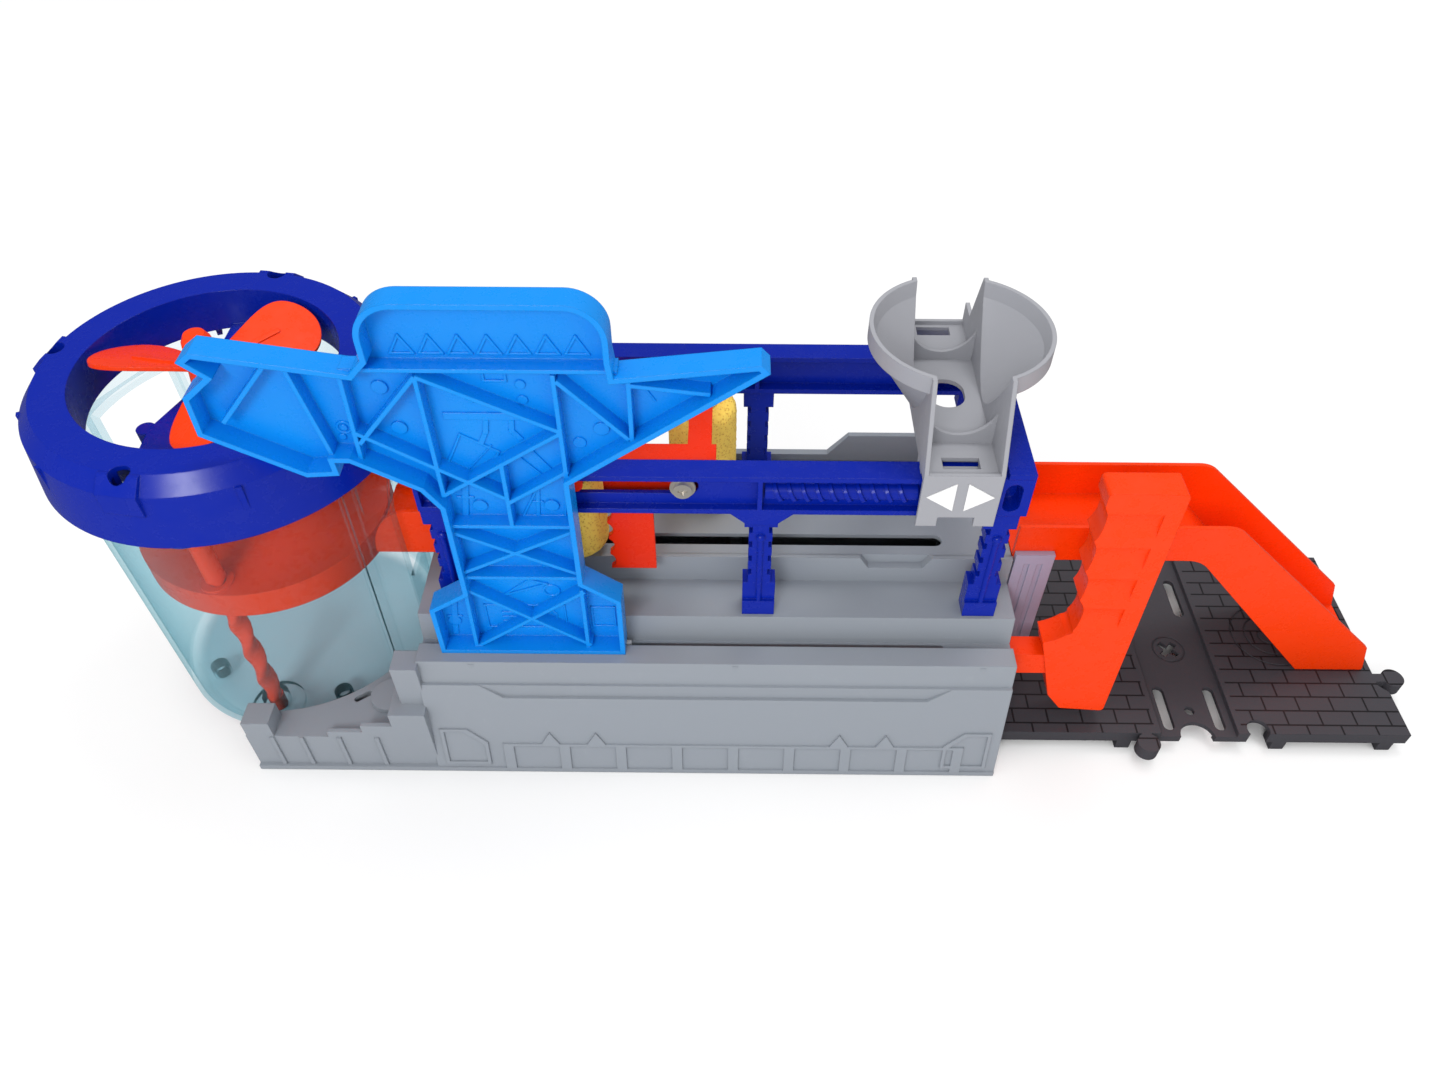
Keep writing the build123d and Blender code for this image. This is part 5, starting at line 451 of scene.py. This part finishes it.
def raised_pad(place, radius):
    """A round raised pad, such as a bolt head."""
    bpy.ops.mesh.primitive_cylinder_add(vertices=PAD_SIDES, radius=radius * MM,
                                        depth=2 * RELIEF_MM * MM, location=on_sign(*place),
                                        rotation=FACING_FRONT)
    bpy.ops.object.transform_apply(location=True, rotation=True, scale=True)
    return bpy.context.object


def raised_ring(place, radius):
    """A thin raised ring, such as the rim of a gauge."""
    bpy.ops.mesh.primitive_torus_add(major_radius=radius * MM, minor_radius=RELIEF_MM * MM,
                                     major_segments=RING_SIDES, minor_segments=RING_ROUND,
                                     location=on_sign(*place), rotation=FACING_FRONT)
    bpy.ops.object.transform_apply(location=True, rotation=True, scale=True)
    return bpy.context.object


def outlined(corners, width=1.1):
    """A closed outline of thin bars through the corners."""
    return [raised_bar(a, b, width) for a, b in zip(corners, corners[1:] + corners[:1])]


def flanged_pipe(start, end, width=2.8):
    """A pipe with a collar at its middle."""
    middle = ((start[0] + end[0]) / 2, (start[1] + end[1]) / 2)
    return [
        raised_bar(start, end, width),
        raised_bar((middle[0] - width, middle[1]), (middle[0] + width, middle[1]), width / 2),
    ]


print("sign's foot at mm:", round(sign_foot / MM, 1))

# %% [markdown]
# ## Placing the details
#
# The truss is one triangle, repeated at an even pitch by a loop. The plates are outlines and
# the pipes are bars with a collar. Their places are measured and rounded.

# %% Truss, plates and pipes
TRUSS_LOW, TRUSS_HIGH, TRUSS_START, TRUSS_PITCH, TRUSS_COUNT = 161.0, 168.5, 76.0, 10.3, 7
TRUSS_BASE_SHARE = 0.8
bpy.ops.object.select_all(action="DESELECT")
details = []
for count in range(TRUSS_COUNT):
    foot = TRUSS_START + count * TRUSS_PITCH
    base = TRUSS_PITCH * TRUSS_BASE_SHARE
    details += outlined([(foot, TRUSS_LOW), (foot + base, TRUSS_LOW), (foot + base / 2, TRUSS_HIGH)])
details += outlined([(107, 149), (115, 149), (115, 155), (107, 155)])
details += outlined([(94, 123.5), (107.5, 115), (97.5, 96), (86.5, 108)])
details += outlined([(122, 100.5), (131.5, 102.5), (129.5, 80.5), (112.5, 80.5)])
details += outlined([(87.5, 24), (123, 24), (123, 9), (87.5, 9)], 0.9)
details += outlined([(135, 23), (145, 23), (145, 10), (135, 10)])
details += outlined([(97, 30.5), (109.5, 41), (117, 38.5)])
details += flanged_pipe((92, 100), (89, 81)) + flanged_pipe((74.5, 27), (71.5, 5))
details += flanged_pipe((120, 95.5), (118.5, 81.5), 1.8)
print("truss, plates and pipes:", len(details), "bars")

# %% Single bars, pads and rings
single_bars = (
    ((91, 132.5), (117, 132.5), 3.4),
    ((105, 131), (104, 125), 2.2), ((104, 125), (101.5, 119.5), 2.2),
    ((114.5, 131), (114, 125.5), 2.2), ((114, 125.5), (116.5, 122), 2.2),
    ((105, 118), (92, 103), 0.7), ((114.5, 113), (124.5, 101), 0.7),
    ((119.5, 117), (128.5, 103.5), 0.7), ((164, 148), (168.5, 140.5), 0.7),
    ((95, 19), (104, 19), 1.2), ((95, 16), (104, 16), 1.2), ((95, 13), (104, 13), 1.2),
)
pads = (
    ((120, 147.5), 2.0), ((120, 140.5), 2.0), ((101, 140.5), 1.7),
    ((118, 50.5), 1.7), ((115, 54), 1.2), ((51, 126.5), 1.5),
    ((49.5, 122), 1.5), ((72.5, 13), 3.0), ((139, 120), 2.6),
)
rings = (((118.5, 34), 3.4), ((114, 16.5), 5.0), ((51, 126.5), 2.6))
details += [raised_bar(start, end, width) for start, end, width in single_bars]
details += [raised_pad(place, radius) for place, radius in pads]
details += [raised_ring(place, radius) for place, radius in rings]
print("details in all:", len(details))

# %% [markdown]
# ## Joining the details
#
# On the real sign they are one moulding. So they are joined into one piece, and a small bevel
# softens their edges as a mould does.

# %% One piece with softened edges
EDGE_ROUND_MM = 0.25
bpy.ops.object.select_all(action="DESELECT")
for detail in details:
    detail.select_set(True)
bpy.context.view_layer.objects.active = details[0]
bpy.ops.object.join()
relief = bpy.context.object
relief.name = relief.data.name = "sign_relief"
softened = relief.modifiers.new("softened_edges", "BEVEL")
softened.width, softened.segments, softened.limit_method = EDGE_ROUND_MM * MM, 2, "ANGLE"
bpy.ops.object.modifier_apply(modifier=softened.name)
relief.data.materials.clear()
relief.data.materials.append(finishes["sign_blue"])
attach(relief, "base")
print("sign relief faces:", len(relief.data.polygons))

# %% [markdown]
# ## Table, backdrop and lamps
#
# The photograph is cut out on white. The camera sees the table as white paper with a breath
# of the toy's own shadow. Ambient occlusion finds the covered places, such as the plate's
# slots, and shows the lit board there, so that they stay dark.

# %% Table
TABLE_HALF, BELOW_MM, CONTACT_MM = 3.0, 0.2, 30.0
OPEN_SHADOW, CLOSED_SHADOW = 0.35, 1.0
bpy.ops.object.select_all(action="DESELECT")
bpy.ops.mesh.primitive_plane_add(size=2 * TABLE_HALF, location=(0, 0, -BELOW_MM * MM))
table = bpy.context.object
table.name = "table"
table_finish, tree = new_material("matt_white_board")
lit_board = add_node(tree, "ShaderNodeBsdfDiffuse")
lit_board.inputs["Color"].default_value = linear("#F4F4F4")
dim_board = add_node(tree, "ShaderNodeBsdfDiffuse")
dim_board.inputs["Color"].default_value = linear("#606060")
paper = add_node(tree, "ShaderNodeEmission", Strength=1.0)
paper.inputs["Color"].default_value = (1, 1, 1, 1)
covered = add_node(tree, "ShaderNodeAmbientOcclusion", Distance=CONTACT_MM * MM)
shade = add_node(tree, "ShaderNodeMapRange", {"Value": covered.outputs["AO"]},
                 From_Min=0.25, From_Max=0.85, To_Min=CLOSED_SHADOW, To_Max=OPEN_SHADOW)
seen = add_node(tree, "ShaderNodeMixShader", {
    0: shade.outputs["Result"], 1: paper.outputs[0], 2: lit_board.outputs[0],
})
ray = add_node(tree, "ShaderNodeLightPath")
unseen = add_node(tree, "ShaderNodeMixShader", {
    0: ray.outputs["Is Glossy Ray"], 1: lit_board.outputs[0], 2: dim_board.outputs[0],
})
board = add_node(tree, "ShaderNodeMixShader", {
    0: ray.outputs["Is Camera Ray"], 1: unseen.outputs[0], 2: seen.outputs[0],
})
add_node(tree, "ShaderNodeOutputMaterial", {"Surface": board.outputs[0]})
table.data.materials.append(table_finish)
print("table side in metres:", 2 * TABLE_HALF)

# %% [markdown]
# ## World
#
# A white room lights the toy evenly, as an overcast window does. The plastic is glossy, and
# a white room would wash its colours out, so Light Path gives reflections a dim room.

# %% World
FILL_STRENGTH, REFLECTED_STRENGTH = 0.95, 0.10
world = bpy.data.worlds.new("studio")
bpy.context.scene.world = world
world.use_nodes = True
tree = world.node_tree
tree.nodes.clear()
path = add_node(tree, "ShaderNodeLightPath")
fill = add_node(tree, "ShaderNodeBackground", Strength=FILL_STRENGTH)
room = add_node(tree, "ShaderNodeBackground", Strength=REFLECTED_STRENGTH)
white = add_node(tree, "ShaderNodeBackground", Strength=1.0)
for light in (fill, room, white):
    light.inputs["Color"].default_value = (1, 1, 1, 1)
unseen = add_node(tree, "ShaderNodeMixShader", {
    0: path.outputs["Is Glossy Ray"], 1: fill.outputs[0], 2: room.outputs[0],
})
either = add_node(tree, "ShaderNodeMixShader", {
    0: path.outputs["Is Camera Ray"], 1: unseen.outputs[0], 2: white.outputs[0],
})
add_node(tree, "ShaderNodeOutputWorld", {"Surface": either.outputs[0]})
print("fill and reflected strength:", FILL_STRENGTH, REFLECTED_STRENGTH)

# %% [markdown]
# ## Lamps
#
# Two soft boxes, a window in front and a ceiling light, give the plastic its glints and the
# toy a soft shadow. A larger box is softer, and a smaller one glints more.

# %% Two soft boxes
TOY_MIDDLE = (0, 0, 0.1)


def soft_lamp(name, place, aim, size, power):
    """A square soft box that faces a point."""
    data = bpy.data.lights.new(name, "AREA")
    data.size, data.energy = size, power
    lamp = bpy.data.objects.new(name, data)
    bpy.context.collection.objects.link(lamp)
    lamp.location = place
    lamp.rotation_euler = (Vector(aim) - Vector(place)).to_track_quat("-Z", "Y").to_euler()


soft_lamp("window_front", (-0.5, -1.5, 1.2), TOY_MIDDLE, 0.5, 13)
soft_lamp("ceiling", (0.3, 0.4, 1.9), TOY_MIDDLE, 0.6, 9)
bpy.context.scene.view_settings.view_transform = "Standard"
print("lamps:", [light.name for light in bpy.data.lights])
